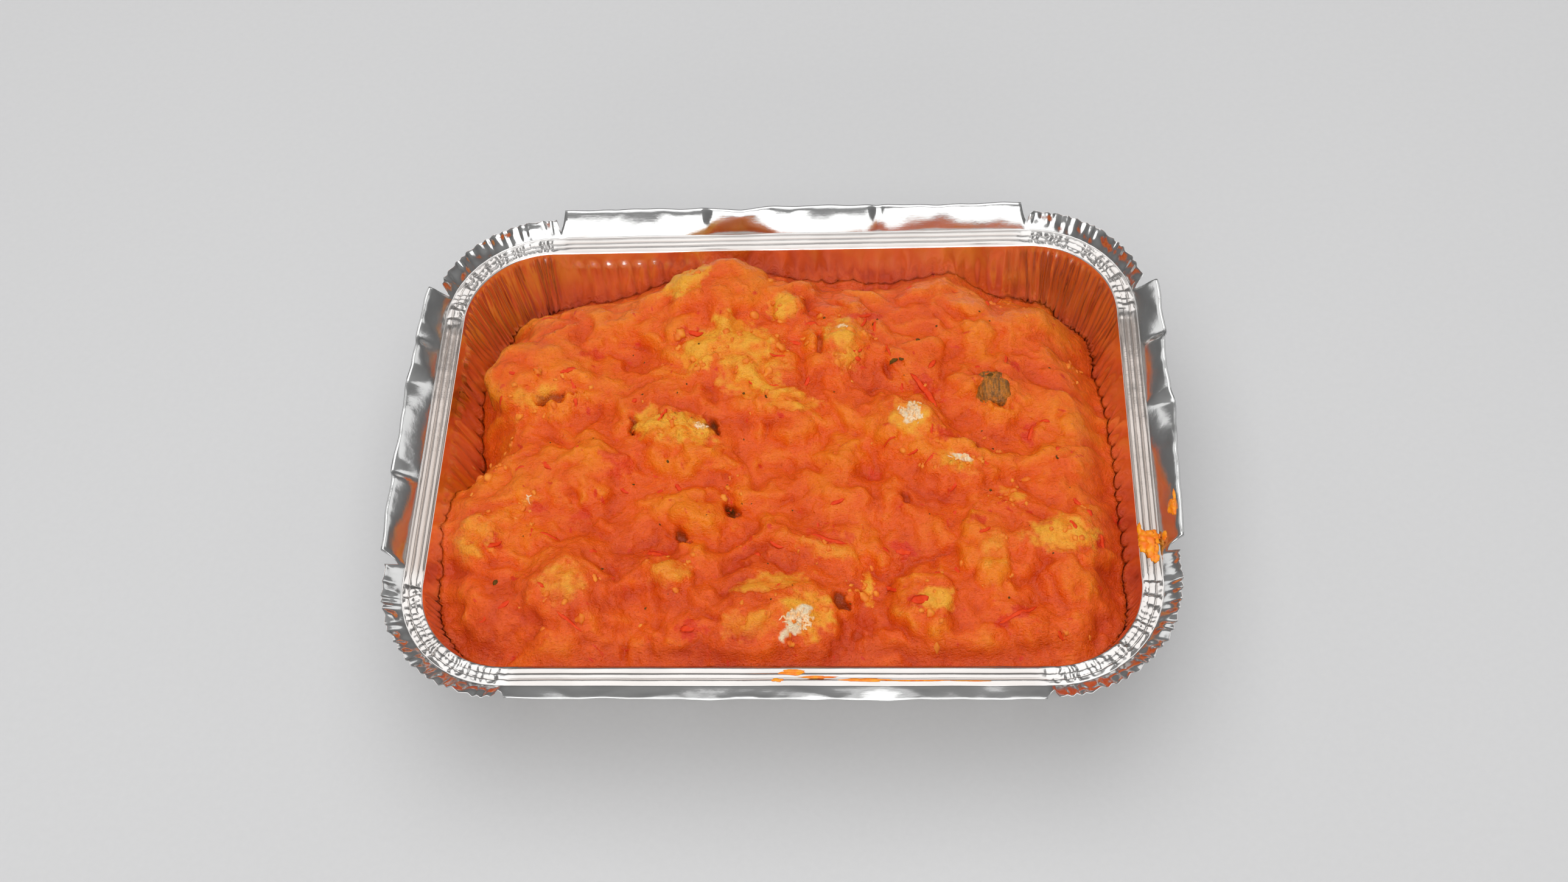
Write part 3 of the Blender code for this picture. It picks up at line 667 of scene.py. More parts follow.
def small_relief(x, y):
    """The wrinkles and grains that lie on everything: crests of stretched noise, and soft noise."""
    bent_x, bent_y = bent(x, y)
    lumps = 0.16 * billow(bent_x / 2.5, bent_y / 1.9, 71, SOFT_CREASE)
    lumps += 0.12 * ridged(bent_x / 1.3, bent_y / 2.3, 72)
    return lumps + 0.08 * noise(x / 1.2, y / 1.2, 73) + 0.35 * layered(x / 6.5, y / 6.5, 75, 2)


def crumb_relief(x, y):
    """The torn batter's surface, deep where it is torn: rounded crumbs, and pores where they meet."""
    bent_x, bent_y = x + 0.8 * noise(x / 2.0, y / 2.0, 51), y + 0.8 * noise(x / 2.0, y / 2.0, 52)
    crumbs = np.abs(noise(bent_x / 2.8, bent_y / 2.8, 53))
    crumbs += 0.5 * np.abs(noise(bent_x / 1.3, bent_y / 1.3, 54))
    return 0.7 * small_relief(x, y) + (crumbs - 0.4) * (0.1 + 1.5 * patch(TORN, x, y, 0.5, 87))


def tops(x, y):
    """The highest smooth chunk top over each point, far down where there is none."""
    top = np.full(np.shape(x), NOWHERE)
    for chunk in CHUNKS:
        here = chunk_reach(chunk, x, y) < 1.0
        top = np.where(here, np.maximum(top, chunk_top(chunk, x, y)), top)
    return top


# %% Sauce height
CREASE = 1.5
SHOULDER_WIDTH, SHOULDER_DROP = 4.5, 1.0
FILM, FILM_DIP, FILM_JOIN = 0.7, 2.2, 0.6
SLAB_HEIGHT, LUMP_HEIGHT, SMALL_HEIGHT = 1.15, 1.7, 0.3
OPEN_DEPTH, HOLE_DEPTH, CALM_WIDTH = 2.6, 3.2, 8.0


def sauce_height(x, y):
    """The sauce above the ledge: CREASE · ln Σ exp(lump / CREASE) over bed, lumps, shoulders and the
    film on the chunks. The film is thick where they are covered and below them where they are bare."""
    bent_x, bent_y = bent(x, y)
    bed = bed_height(x, y)
    heights = [bed - 2.4]
    for lump in LUMPS:
        fall = 0.38 * min(lump.half_x, lump.half_y) * np.hypot(*turned(lump, bent_x, bent_y)) ** 2.3
        heights.append(bed + 0.85 * lump.crown - 1.0 - fall)
    for chunk in CHUNKS:
        wide = chunk._replace(half_x=chunk.half_x + SHOULDER_WIDTH, half_y=chunk.half_y + SHOULDER_WIDTH)
        fall = 0.26 * min(wide.half_x, wide.half_y) * np.hypot(*turned(wide, bent_x, bent_y)) ** 2.6
        heights.append(0.7 * bed + chunk.crown - SHOULDER_DROP - fall)
    total = sum(np.exp(np.maximum(height, -45.0) / CREASE) for height in heights)
    heap = CREASE * np.log(total)
    heap += SLAB_HEIGHT * slabs(bent_x / 17.0, bent_y / 13.0, 2.2, 67)
    heap += LUMP_HEIGHT * billow(bent_x / 12.5, bent_y / 10.0, 66, SOFT_CREASE)
    heap += SMALL_HEIGHT * billow(bent_x / 5.2, bent_y / 4.4, 68, SOFT_CREASE)
    opened = patch(OPEN, x, y, 0.5, 89)
    heap -= OPEN_DEPTH * opened
    film = tops(x, y) + FILM - FILM_DIP * np.maximum(patch(BARE, x, y, 0.5, 81), opened)
    joined = FILM_JOIN * np.logaddexp(heap / FILM_JOIN, np.maximum(film, FAR_DOWN) / FILM_JOIN)
    heap = np.where(film > FAR_DOWN, joined, heap)
    heap += small_relief(x, y)
    calm = smooth(to_wall(x, y) / CALM_WIDTH)
    holes = HOLE_DEPTH * patch(SHADED_HOLES, x, y, 0.9, 83)
    return bed + (heap - bed) * (0.2 + 0.8 * calm) - holes


# %% [markdown]
# ## Height map and push
# A height over each point can't hang over. So the food's points are also pushed sideways, downhill
# and most on the crests, which turns steep edges into soft overhangs and closes the creases. The
# push is read from a map of the heights, and every piece of the food uses the same one.

# %% Height map
MAP_STEP = 0.6
MAP_X, MAP_Y = np.arange(-102.0, 102.1, MAP_STEP), np.arange(-73.0, 73.1, MAP_STEP)


def food_top(x, y):
    """The height of whatever shows at a point: the sauce or a chunk."""
    return LEDGE_Z + np.maximum(sauce_height(x, y), tops(x, y) + crumb_relief(x, y))


def blurred(values, width):
    """A map blurred by a bell curve of a width in millimetres, exp(-2(π·width·f)²) on its waves."""
    down, across = (wave(n, MAP_STEP) for wave, n in zip((np.fft.fftfreq, np.fft.rfftfreq), values.shape))
    bell = np.exp(-2.0 * (math.pi * width * np.hypot(down[:, None], across)) ** 2)
    return np.fft.irfft2(np.fft.rfft2(values) * bell, values.shape)


def look_up(values, x, y):
    """A map's value at any points, straight between its four nearest cells."""
    i = np.clip((x - MAP_X[0]) / MAP_STEP, 0, len(MAP_X) - 1.001)
    j = np.clip((y - MAP_Y[0]) / MAP_STEP, 0, len(MAP_Y) - 1.001)
    i0, j0 = i.astype(int), j.astype(int)
    i, j = i - i0, j - j0
    low = values[i0, j0] * (1 - i) + values[i0 + 1, j0] * i
    return low * (1 - j) + (values[i0, j0 + 1] * (1 - i) + values[i0 + 1, j0 + 1] * i) * j


height_map = food_top(*np.meshgrid(MAP_X, MAP_Y, indexing="ij"))
broad_crest = blurred(height_map, 1.0) - blurred(height_map, 6.0)
slopes = np.gradient(blurred(height_map, 0.9), MAP_STEP)
PUSH = 0.55
steepness = 1.0 + np.hypot(*slopes)
pushes = [-PUSH * slope / steepness * smooth(0.5 + broad_crest / 3.0) for slope in slopes]


def pushed(points):
    """Points with the push added, which fades out towards the wall."""
    x, y = points[..., 0], points[..., 1]
    calm = smooth(to_wall(x, y) / 5.0 - 0.2)
    sideways = [look_up(push, x, y) * calm for push in pushes]
    return np.stack([x + sideways[0], y + sideways[1], points[..., 2]], -1)


# %% [markdown]
# ## The sauce
# The grid over the plan has cells of about half a millimetre. Its rim follows the wall's flutes, so
# that the sauce meets the foil all round, and a skirt closes it under the heap.

# %% Sauce piece
CELLS_X, CELLS_Y = 358, 256
WALL_GAP, FOIL_GAP, SAUCE_FOOT = 1.25, 0.2, 0.75


def tray_plan(u, v, inset):
    """A square grid laid into the tray's rounded outline: each corner patch becomes a quarter disc."""
    half_x, half_y, radius = LEDGE_HALF_X - inset, LEDGE_HALF_Y - inset, LEDGE_RADIUS - inset
    x, y = u * half_x, v * half_y
    part_x = np.clip((np.abs(x) - half_x + radius) / radius, 0.0, 1.0)
    part_y = np.clip((np.abs(y) - half_y + radius) / radius, 0.0, 1.0)
    disc_x = radius * part_x * np.sqrt(1.0 - part_y**2 / 2.0)
    disc_y = radius * part_y * np.sqrt(1.0 - part_x**2 / 2.0)
    x = np.sign(x) * (np.minimum(np.abs(x), half_x - radius) + disc_x)
    return x, np.sign(y) * (np.minimum(np.abs(y), half_y - radius) + disc_y)


def nearest_run(x, y):
    """The run of the place on the ledge's inner edge that is nearest to each point."""
    runs = np.arange(0.0, LAP, 0.2)
    edge = edge_at(runs)
    return runs[np.argmin((edge.x - x[:, None]) ** 2 + (edge.y - y[:, None]) ** 2, axis=1)]


def grid_rim(rows, columns):
    """The numbers of a grid's outermost points, once round."""
    index = np.arange(rows * columns).reshape(rows, columns)
    return np.concatenate([index[:-1, 0], index[-1, :-1], index[:0:-1, -1], index[0, :0:-1]])


def build_sauce():
    """The heap's top over the plan, then rings down the wall and across the base to a hub. The plan
    is narrower where the top is lower, so plan and top are worked out in turns, each time halfway."""
    u, v = np.meshgrid(np.linspace(-1, 1, CELLS_X + 1), np.linspace(-1, 1, CELLS_Y + 1), indexing="ij")
    z = np.zeros(u.shape)
    for _ in range(7):
        x, y = tray_plan(u, v, WALL_GAP - wall_offset(np.minimum(LEDGE_Z + z, LEDGE_Z)))
        height = sauce_height(x, y)
        z = (z + height) / 2.0
    z = height
    points = pushed(np.stack([x, y, LEDGE_Z + z], -1).reshape(-1, 3))
    rim_index = grid_rim(*u.shape)
    edge_points = points[rim_index]
    run = nearest_run(edge_points[:, 0], edge_points[:, 1])
    edge = edge_at(run)
    level = edge_points[:, 2]
    points[rim_index] = ring_points(edge, wall_offset(level) + wall_relief(run, level) - FOIL_GAP, level)
    rings = [rim_index]
    for share in (0.85, 0.5, 0.0):
        height = 4.0 + (level - 4.0) * share
        rings.append(len(points) + np.arange(len(run)))
        points = np.concatenate([points, ring_points(edge, wall_offset(height) - WALL_GAP, height)])
    rings.append(len(points) + np.arange(len(run)))
    foot = ring_points(edge, -WALL_LEAN_IN - BASE_ROUND - 1.0, SAUCE_FOOT)
    points = np.concatenate([points, foot, [[0.0, 0.0, SAUCE_FOOT]]])
    hub = len(points) - 1
    faces = [grid_faces(*u.shape, False)]
    for upper, lower in zip(rings, rings[1:]):
        faces.append(np.stack([upper, np.roll(upper, -1), np.roll(lower, -1), lower], -1))
    faces.append(fan(hub, rings[-1])[:, ::-1])
    flat = points[:, :2].copy()
    flat[: x.size] = np.stack([x.ravel(), y.ravel()], -1)
    return points, faces, flat


sauce_points, sauce_faces, sauce_flat = build_sauce()
sauce = make_piece("sauce_heap", sauce_points, sauce_faces)

# %% [markdown]
# ## The chunks
# Each chunk is a polar grid: its rows go out from the crown and over the edge to a flat foot. Its
# top is the same function that the sauce's film follows, so the film clings to it, and the crumbs
# stand only where it is bare.

# %% Chunk pieces
def build_chunk(chunk):
    """Rows of reach sin(t) over the top, then a skirt down to the foot and a hub at each end."""
    size = (chunk.half_x + chunk.half_y) / 2.0
    around = int(math.tau * size / 0.55)
    turn = np.linspace(0.0, math.tau, around, endpoint=False)
    tilt = np.linspace(0.0, math.pi / 2.0, int(size / 0.42) + 6)[1:]
    share = np.concatenate([np.sin(tilt) * 0.9995, [0.96, 0.86]])
    bend = noise(1.6 * np.cos(turn) + chunk.x, 1.6 * np.sin(turn) + chunk.y, 41)
    outline = 1.0 + 0.9 * chunk.lumpy * bend
    u, v = (share[:, None] * outline * wave(turn) for wave in (np.cos, np.sin))
    ahead = math.radians(chunk.turn)
    x = chunk.x + u * chunk.half_x * math.cos(ahead) - v * chunk.half_y * math.sin(ahead)
    y = chunk.y + u * chunk.half_x * math.sin(ahead) + v * chunk.half_y * math.cos(ahead)
    z = chunk_top(chunk, x, y) + crumb_relief(x, y)
    foot = chunk.crown - 1.3 * chunk.half_z
    z[-2:] = np.array([[foot + 0.6], [foot]])
    middle = np.array([[chunk.x, chunk.y, float(chunk_top(chunk, chunk.x, chunk.y))]])
    points = np.concatenate([middle, np.stack([x, y, z], -1).reshape(-1, 3), [[chunk.x, chunk.y, foot]]])
    points[:, 2] += LEDGE_Z
    flat, points = points[:, :2], pushed(points)
    first, last = np.arange(around) + 1, np.arange(around) + 1 + around * (len(share) - 1)
    faces = [grid_faces(len(share), around, True) + 1, fan(0, first), fan(len(points) - 1, last)[:, ::-1]]
    return points, faces, flat


chunk_pieces, chunk_flats = {}, {}
for chunk in CHUNKS:
    points, faces, chunk_flats[chunk.name] = build_chunk(chunk)
    name = "cooked_onion" if chunk.name == "onion" else chunk.name.replace("chicken", "battered")
    chunk_pieces[chunk.name] = make_piece(name, points, faces)

# %% [markdown]
# ## Small things on the food
# Pepper strips, herb flecks, crumbs and shreds of meat are all short bent strands with round sides,
# so one builder makes each kind as one mesh. A strand follows the food's surface from its middle
# outwards, half sunk in it.

# %% Strand builder
class Strand(NamedTuple):
    """A strand's middle, its heading and bend in degrees, its length, width, thickness and lift."""

    x: float
    y: float
    heading: float
    bend: float
    length: float
    width: float
    thick: float
    lift: float


def build_strands(name, strands, rows=9, around=6, rough=0.15):
    """Each strand's middle line is bowed, by 0.35 · bend · t² of its half length, and lies on the
    food. Round it runs an ellipse whose size is √(1 - t²), with t from -1 to 1 along the strand."""
    each = [np.array(column)[:, None, None] for column in zip(*strands)]
    x, y, heading, bend, length, width, thick, lift = each
    t = np.linspace(-1.0, 1.0, rows)[None, :, None]
    angle = np.linspace(0.0, math.tau, around, endpoint=False)[None, None, :]
    ahead, heading = np.radians(heading + bend * t), np.radians(heading)
    bow = 0.35 * t * t * np.radians(bend)
    line_x = x + length / 2.0 * (t * np.cos(heading) - bow * np.sin(heading))
    line_y = y + length / 2.0 * (t * np.sin(heading) + bow * np.cos(heading))
    size = np.sqrt(1.0 - 0.995 * t * t) * (1.0 + rough * noise(t * 3.0 + x, y, 91) * 2.0)
    side = size * width / 2.0 * np.cos(angle)
    px, py = line_x - side * np.sin(ahead), line_y + side * np.cos(ahead)
    pz = food_top(line_x, line_y) + lift + size * thick / 2.0 * np.sin(angle)
    points = pushed(np.stack(np.broadcast_arrays(px, py, pz), -1))
    count = len(strands)
    cells = grid_faces(rows, around, True)
    ends = [np.arange(around)[::-1][None], (np.arange(around) + around * (rows - 1))[None]]
    starts = (np.arange(count) * rows * around)[:, None, None]
    faces = [(cells[None] + starts).reshape(-1, 4)]
    faces += [(end[None] + starts).reshape(-1, around) for end in ends]
    return make_piece(name, points.reshape(-1, 3), faces)


def scatter(draw, count, around, spread):
    """Random places near some points: each is a point of the table, shaken by a normal spread."""
    table = np.array(around, float)
    chosen = table[draw.integers(0, len(table), count)]
    return chosen + draw.normal(0.0, spread, (count, 2))


# %% Strands
draw = np.random.default_rng(23)
# (x, y, heading, bend, length, width, thickness, lift), then more at random
pepper = [
    (42, 17, -60, -18, 15, 2.0, 0.6, 0.1), (31, 31, -75, 10, 5.5, 0.9, 0.4, 0.1),
    (14, -33, -17, 8, 11, 1.3, 0.4, 0.05), (-35, -36, -20, 10, 5, 2.0, 0.4, 0.0),
    (35, -35.5, 0, 5, 4.5, 2.6, 0.4, 0.0), (39.5, -53, 20, 5, 5, 2.8, 0.5, 0.1),
    (66, -56, 25, 12, 12, 1.3, 0.5, 0.05), (90, -32, -80, 5, 4, 1.8, 0.4, 0.0),
    (-24, -60, 0, 10, 4, 2.2, 0.4, 0.0), (72.5, 4, 70, 10, 5, 1.6, 0.4, 0.0),
    (84, -20, -45, 5, 3, 1.4, 0.4, 0.0), (-81, -33, 40, 20, 4.5, 1.6, 0.4, 0.0),
    (44, 26, 60, 10, 4, 1.5, 0.4, 0.1), (24, 44, 30, 10, 5, 1.2, 0.4, 0.0),
    (-2, 28.5, -10, 10, 5, 1.0, 0.4, 0.1), (-27, 37.5, -15, 15, 5, 2.0, 0.4, 0.1),
    (-57, -58, -35, 10, 9, 1.0, 0.4, 0.0), (-66, -30, -20, 15, 6, 1.2, 0.4, 0.0),
]
for x, y in draw.uniform((-88, -62), (88, 58), (60, 2)):
    if to_wall(x, y) > 9:
        pepper.append((x, y, draw.uniform(0, 180), draw.uniform(-30, 30), draw.gamma(3.0, 0.7) + 1.2,
                       draw.uniform(0.9, 2.0), draw.uniform(0.3, 0.5), draw.uniform(-0.16, 0.02)))
pepper_bits = build_strands("pepper_shreds", [Strand(*values) for values in pepper])

herbs = [
    (32.5, 27, 20, 10, 3.2, 1.9, 0.3, 0.15), (35, 27.6, -30, 0, 1.8, 1.2, 0.3, 0.15),
    (-80, -44, 60, 0, 1.9, 1.5, 0.25, 0.1), (40, 34, 0, 0, 1.4, 1.0, 0.2, 0.1),
    (-14.5, -20, 40, 0, 1.6, 1.2, 0.3, 0.5), (61, 21, 15, 0, 2, 1.2, 0.2, 0.1),
]
for x, y in draw.uniform((-86, -62), (86, 56), (60, 2)):
    if to_wall(x, y) > 9:
        size = draw.gamma(2.0, 0.2) + 0.3
        herbs.append((x, y, draw.uniform(0, 180), 0, size, size * 0.8, 0.18, 0.05))
herb_flecks = build_strands("herb_flecks", [Strand(*values) for values in herbs], rows=5, around=5)

crumbs = []
near = [(x, y) for x, y, *_ in BARE] + [(-72, 14), (-66, 16), (-15, -18), (20, -50), (55, -5), (86, -60)]
far = [(88, 30), (-88, -5), (70, 55)]
for x, y in np.concatenate([scatter(draw, 260, near, 5.0), scatter(draw, 40, far, 6.0)]):
    if to_wall(x, y) > 6:
        size = draw.gamma(3.0, 0.27) + 0.35
        crumbs.append((x, y, draw.uniform(0, 180), draw.uniform(-20, 20), size * 1.35, size, size * 0.8,
                       draw.uniform(-0.25, 0.1)))
batter_crumbs = build_strands(
    "batter_crumbs", [Strand(*values) for values in crumbs], rows=6, around=7, rough=0.35)

shreds = []
for fx, fy, half_x, half_y, turn, strength in FLESH:
    count = int(3.5 * half_x * half_y * strength) + 2
    for x, y in draw.normal((fx, fy), (half_x * 0.4, half_y * 0.4), (count, 2)):
        shreds.append((x, y, turn + draw.normal(60, 50), draw.uniform(-40, 40), draw.uniform(0.7, 2.2),
                       draw.uniform(0.4, 1.0), draw.uniform(0.4, 0.8), draw.uniform(-0.1, 0.15)))
meat_shreds = build_strands(
    "meat_shreds", [Strand(*values) for values in shreds], rows=7, around=6, rough=0.3)

# %% [markdown]
# ## Splashes on the foil
# A little sauce has landed on the ledge and on a flap. A splash is a disc in the rim's own two
# parameters, so its underside lies on the foil's rails, and its top is a low dome over them.

# %% Splashes
def build_splashes(name, splashes):
    """Discs of run and q round a middle, with a thickness of height · √(1 - reach²)."""
    all_points, all_faces, start = [], [], 0
    turn = np.linspace(0.0, math.tau, 72, endpoint=False)
    reach = np.linspace(0.04, 1.0, 14)[:, None]
    for number, (run, q, half_run, half_q, height) in enumerate(splashes):
        outline = 1.0 + 0.3 * noise(1.3 * np.cos(turn) + 7 * number, 1.3 * np.sin(turn), 95)
        outline += 0.16 * noise(3.4 * np.cos(turn) + 5 * number, 3.4 * np.sin(turn), 96)
        at_run = run + half_run * reach * outline * np.cos(turn)
        at_q = np.clip(q + half_q * reach * outline * np.sin(turn), 0.02, 1.9)
        under = rim_point(at_run, at_q)
        along = rim_point(at_run + 0.05, at_q) - under
        across = rim_point(at_run, at_q + 0.01) - under
        normal = np.cross(across, along)
        normal /= np.linalg.norm(normal, axis=-1, keepdims=True)
        swell = 1.0 + 0.5 * noise(at_run / 1.6, at_q * 4.0, 97)
        rise = height * np.sqrt(1.0 - reach**2 * 0.999) * swell
        top, bottom = under + normal * (rise + 0.03)[..., None], under + normal * 0.02
        hubs = top[:1].mean(1), bottom[:1].mean(1)
        points = np.concatenate([top.reshape(-1, 3), bottom.reshape(-1, 3), *hubs])
        rows, columns = rise.shape
        upper = grid_faces(rows, columns, True)
        outer = np.arange(columns) + columns * (rows - 1)
        count = rows * columns
        wall = np.stack([outer, np.roll(outer, -1), np.roll(outer, -1) + count, outer + count], -1)
        faces = [upper, upper[:, ::-1] + count, wall, fan(2 * count, np.arange(columns)),
                 fan(2 * count + 1, np.arange(columns) + count)[:, ::-1]]
        if volume(points, faces) < 0.0:
            faces = [corners[:, ::-1] for corners in faces]
        all_points.append(points)
        all_faces += [corners + start for corners in faces]
        start += len(points)
    return make_piece(name, np.concatenate(all_points), all_faces, closed=False)


RIGHT, FRONT = FLAT_Y, LAP - ARC - FLAT_X
# (run, q, half run, half q, thickness), with the run from the middle of the right and the front side
splash_list = [
    (RIGHT - 34.0, 0.45, 4.4, 0.62, 1.1), (RIGHT - 30.5, 0.1, 2.6, 0.1, 0.7),
    (RIGHT - 39.0, 0.7, 1.6, 0.2, 0.5), (RIGHT - 25.5, 1.75, 2.6, 0.2, 0.9),
    (RIGHT - 22.5, 1.85, 2.0, 0.05, 0.4), (RIGHT - 33.0, 1.3, 1.4, 0.12, 0.4),
    (FRONT + 5.0, 0.35, 3.4, 0.16, 0.3), (FRONT + 12.0, 0.6, 5.0, 0.06, 0.2),
    (FRONT + 24.0, 0.75, 6.5, 0.09, 0.25), (FRONT + 38.0, 0.78, 8.0, 0.04, 0.15),
    (FRONT + 1.0, 0.75, 1.6, 0.1, 0.25), (FRONT + 53.0, 0.8, 5.0, 0.03, 0.12),
]
splashes = build_splashes("sauce_splashes", splash_list)

# %% [markdown]
# ## What the finishes read
# Sauce is thin and light on a crest and deep red in a hollow, and the colours also paint light onto the
# crests and shade into the hollows, so they need to know which is which. The height map, less a blurred
# copy of itself, tells it. Each piece then keeps on its points the shares of crest, bare batter, meat,
# pepper stain and dark hole, whose dark colour is painted shade.

# %% Shares
fine_crest = height_map - blurred(height_map, 1.5)


def food_shares(points):
    """The shares at a food piece's points before their push, each from 0 to 1."""
    x, y = points[:, 0], points[:, 1]
    bent_x, bent_y = x + 2.0 * noise(x / 5.0, y / 5.0, 101), y + 2.0 * noise(x / 5.0, y / 5.0, 102)
    stain = np.maximum(noise(bent_x / 3.6, bent_y / 1.7, 103), noise(bent_x / 1.5, bent_y / 3.2, 104))
    return {
        # crest and rise colour the food lighter on crests and darker in hollows: partly thinner and deeper
        # sauce, partly painted light and painted shade. rise also falls towards the front, which colours
        # the food darker towards the front.
        "crest": np.clip(0.5 + look_up(fine_crest, x, y) / 2.2, 0, 1),
        "rise": np.clip(0.5 + look_up(broad_crest, x, y) / 7.0 - 0.5 * smooth((-y - 26.0) / 30.0), 0, 1),
        "bare": patch(BARE, x, y, 0.55, 81),
        "flesh": patch(FLESH, x, y, 0.6, 85),
        "stain": np.maximum(smooth((stain - 0.62) / 0.3), patch(REDS, x, y, 0.9, 107)),
        "dark": patch(SHADED_HOLES, x, y, 0.9, 83),
    }


write_shares(sauce, food_shares(sauce_flat))
for key, piece in chunk_pieces.items():
    write_shares(piece, food_shares(chunk_flats[key]))

# %% [markdown]
# ## Finishes
# A finish is a tree of nodes. One class wraps a node's output, so that sums and products of it can
# be written as plain Python, and a second one keeps the tree and adds every other node.

# %% Node helpers
class Share:
    """A number that varies over a surface. Each operator adds one Math node."""

    def __init__(self, finish, socket):
        self.finish, self.socket = finish, socket

    def math(self, operation, first, second, clamp=False):
        settings = {"operation": operation, "use_clamp": clamp}
        return self.finish.node("ShaderNodeMath", settings, {0: first, 1: second})

    def __add__(self, other):
        return self.math("ADD", self, other)

    def __sub__(self, other):
        return self.math("SUBTRACT", self, other)

    def __rsub__(self, other):
        return self.math("SUBTRACT", other, self)

    def __mul__(self, other):
        return self.math("MULTIPLY", self, other)

    __radd__, __rmul__ = __add__, __mul__

    def size(self):
        """The number without its sign."""
        return self.math("ABSOLUTE", self, 0.0)

    def step(self, low, high):
        """0 below low, 1 above high and straight between them."""
        return self.math("ADD", (self - low) * (1.0 / (high - low)), 0.0, clamp=True)


class Finish:
    """A material with one Principled shader, whose unchanging values are set on its own sockets."""

    def __init__(self, name, **values):
        self.material = bpy.data.materials.new(name)
        self.material.use_nodes = True
        self.tree = self.material.node_tree
        self.shader = self.tree.nodes["Principled BSDF"]
        for socket, value in values.items():
            self.shader.inputs[socket.replace("_", " ")].default_value = value
        place = self.node("ShaderNodeTexCoord", output="Object")
        self.place = self.vector_math("MULTIPLY", place, (1.0 / MM,) * 3)

    def node(self, kind, settings=None, inputs=None, output=0):
        """Adds a node: first its settings, then the value or link of each input."""
        made = self.tree.nodes.new(kind)
        for name, value in (settings or {}).items():
            setattr(made, name, value)
        for key, value in (inputs or {}).items():
            if isinstance(value, Share):
                self.tree.links.new(value.socket, made.inputs[key])
            else:
                made.inputs[key].default_value = value
        return Share(self, made.outputs[output])

    def vector_math(self, operation, first, second):
        """One Vector Math node."""
        return self.node("ShaderNodeVectorMath", {"operation": operation}, {0: first, 1: second})

    def stored(self, name):
        """A share that is kept on the piece's points."""
        return self.node("ShaderNodeAttribute", {"attribute_name": name}, output="Fac")

    def clouds(self, size, detail=3.0, roughness=0.55, stretch=(1.0, 1.0, 1.0), shift=0.0):
        """Noise whose forms are `size` millimetres wide."""
        scale = tuple(1.0 / (size * s) for s in stretch)
        place = self.vector_math("ADD", self.vector_math("MULTIPLY", self.place, scale), (shift,) * 3)
        inputs = {"Vector": place, "Scale": 1.0, "Detail": detail, "Roughness": roughness}
        return self.node("ShaderNodeTexNoise", {}, inputs)

    def mix(self, share, first, second):
        """From the first colour to the second as the share goes from 0 to 1."""
        first, second = ((*c, 1.0) if isinstance(c, tuple) else c for c in (first, second))
        return self.node("ShaderNodeMix", {"data_type": "RGBA"}, {0: share, 6: first, 7: second}, 2)

    def bump(self, height, depth, below=None):
        """A Bump node: the height, from 0 to 1, stands for a depth in millimetres."""
        inputs = {"Height": height, "Strength": 1.0, "Distance": depth * MM}
        if below is not None:
            inputs["Normal"] = below
        return self.node("ShaderNodeBump", {}, inputs)

    def feed(self, **values):
        """Links what varies into the shader."""
        for name, value in values.items():
            self.tree.links.new(value.socket, self.shader.inputs[name.replace("_", " ")])
        return self.material


# %% [markdown]
# The food's finishes share one recipe: sauce that is lighter on crests and redder and darker in hollows,
# partly as thinner and deeper sauce and partly as painted light and shade, over yellow batter and pale
# meat. The wet look comes from a low roughness with a thin coat, and a small amount of light goes under the
# surface, as it does in thick sauce. The onion alone is brown, with darker ribs.

# %% Food finishes
# The first colour is for hollows and the third for crests: partly the sauce's own tone, partly painted
# shade and painted light.
DEEP_AND_SHADED, SAUCE, PALE_AND_LIT = (0.70, 0.058, 0.001), (0.92, 0.118, 0.002), (1.0, 0.240, 0.004)
RED, HOLE_SHADE, MEAT = (0.80, 0.036, 0.006), (0.16, 0.04, 0.003), (0.98, 0.76, 0.50)
BATTER, GOLD = (1.0, 0.44, 0.030), (1.0, 0.29, 0.008)
RIB, RIB_SHADE = (0.62, 0.20, 0.012), (0.15, 0.07, 0.014)
SOFT_LIGHT = {"Subsurface_Weight": 0.18, "Subsurface_Radius": (1.0, 0.35, 0.12), "Subsurface_Scale": 0.0025}


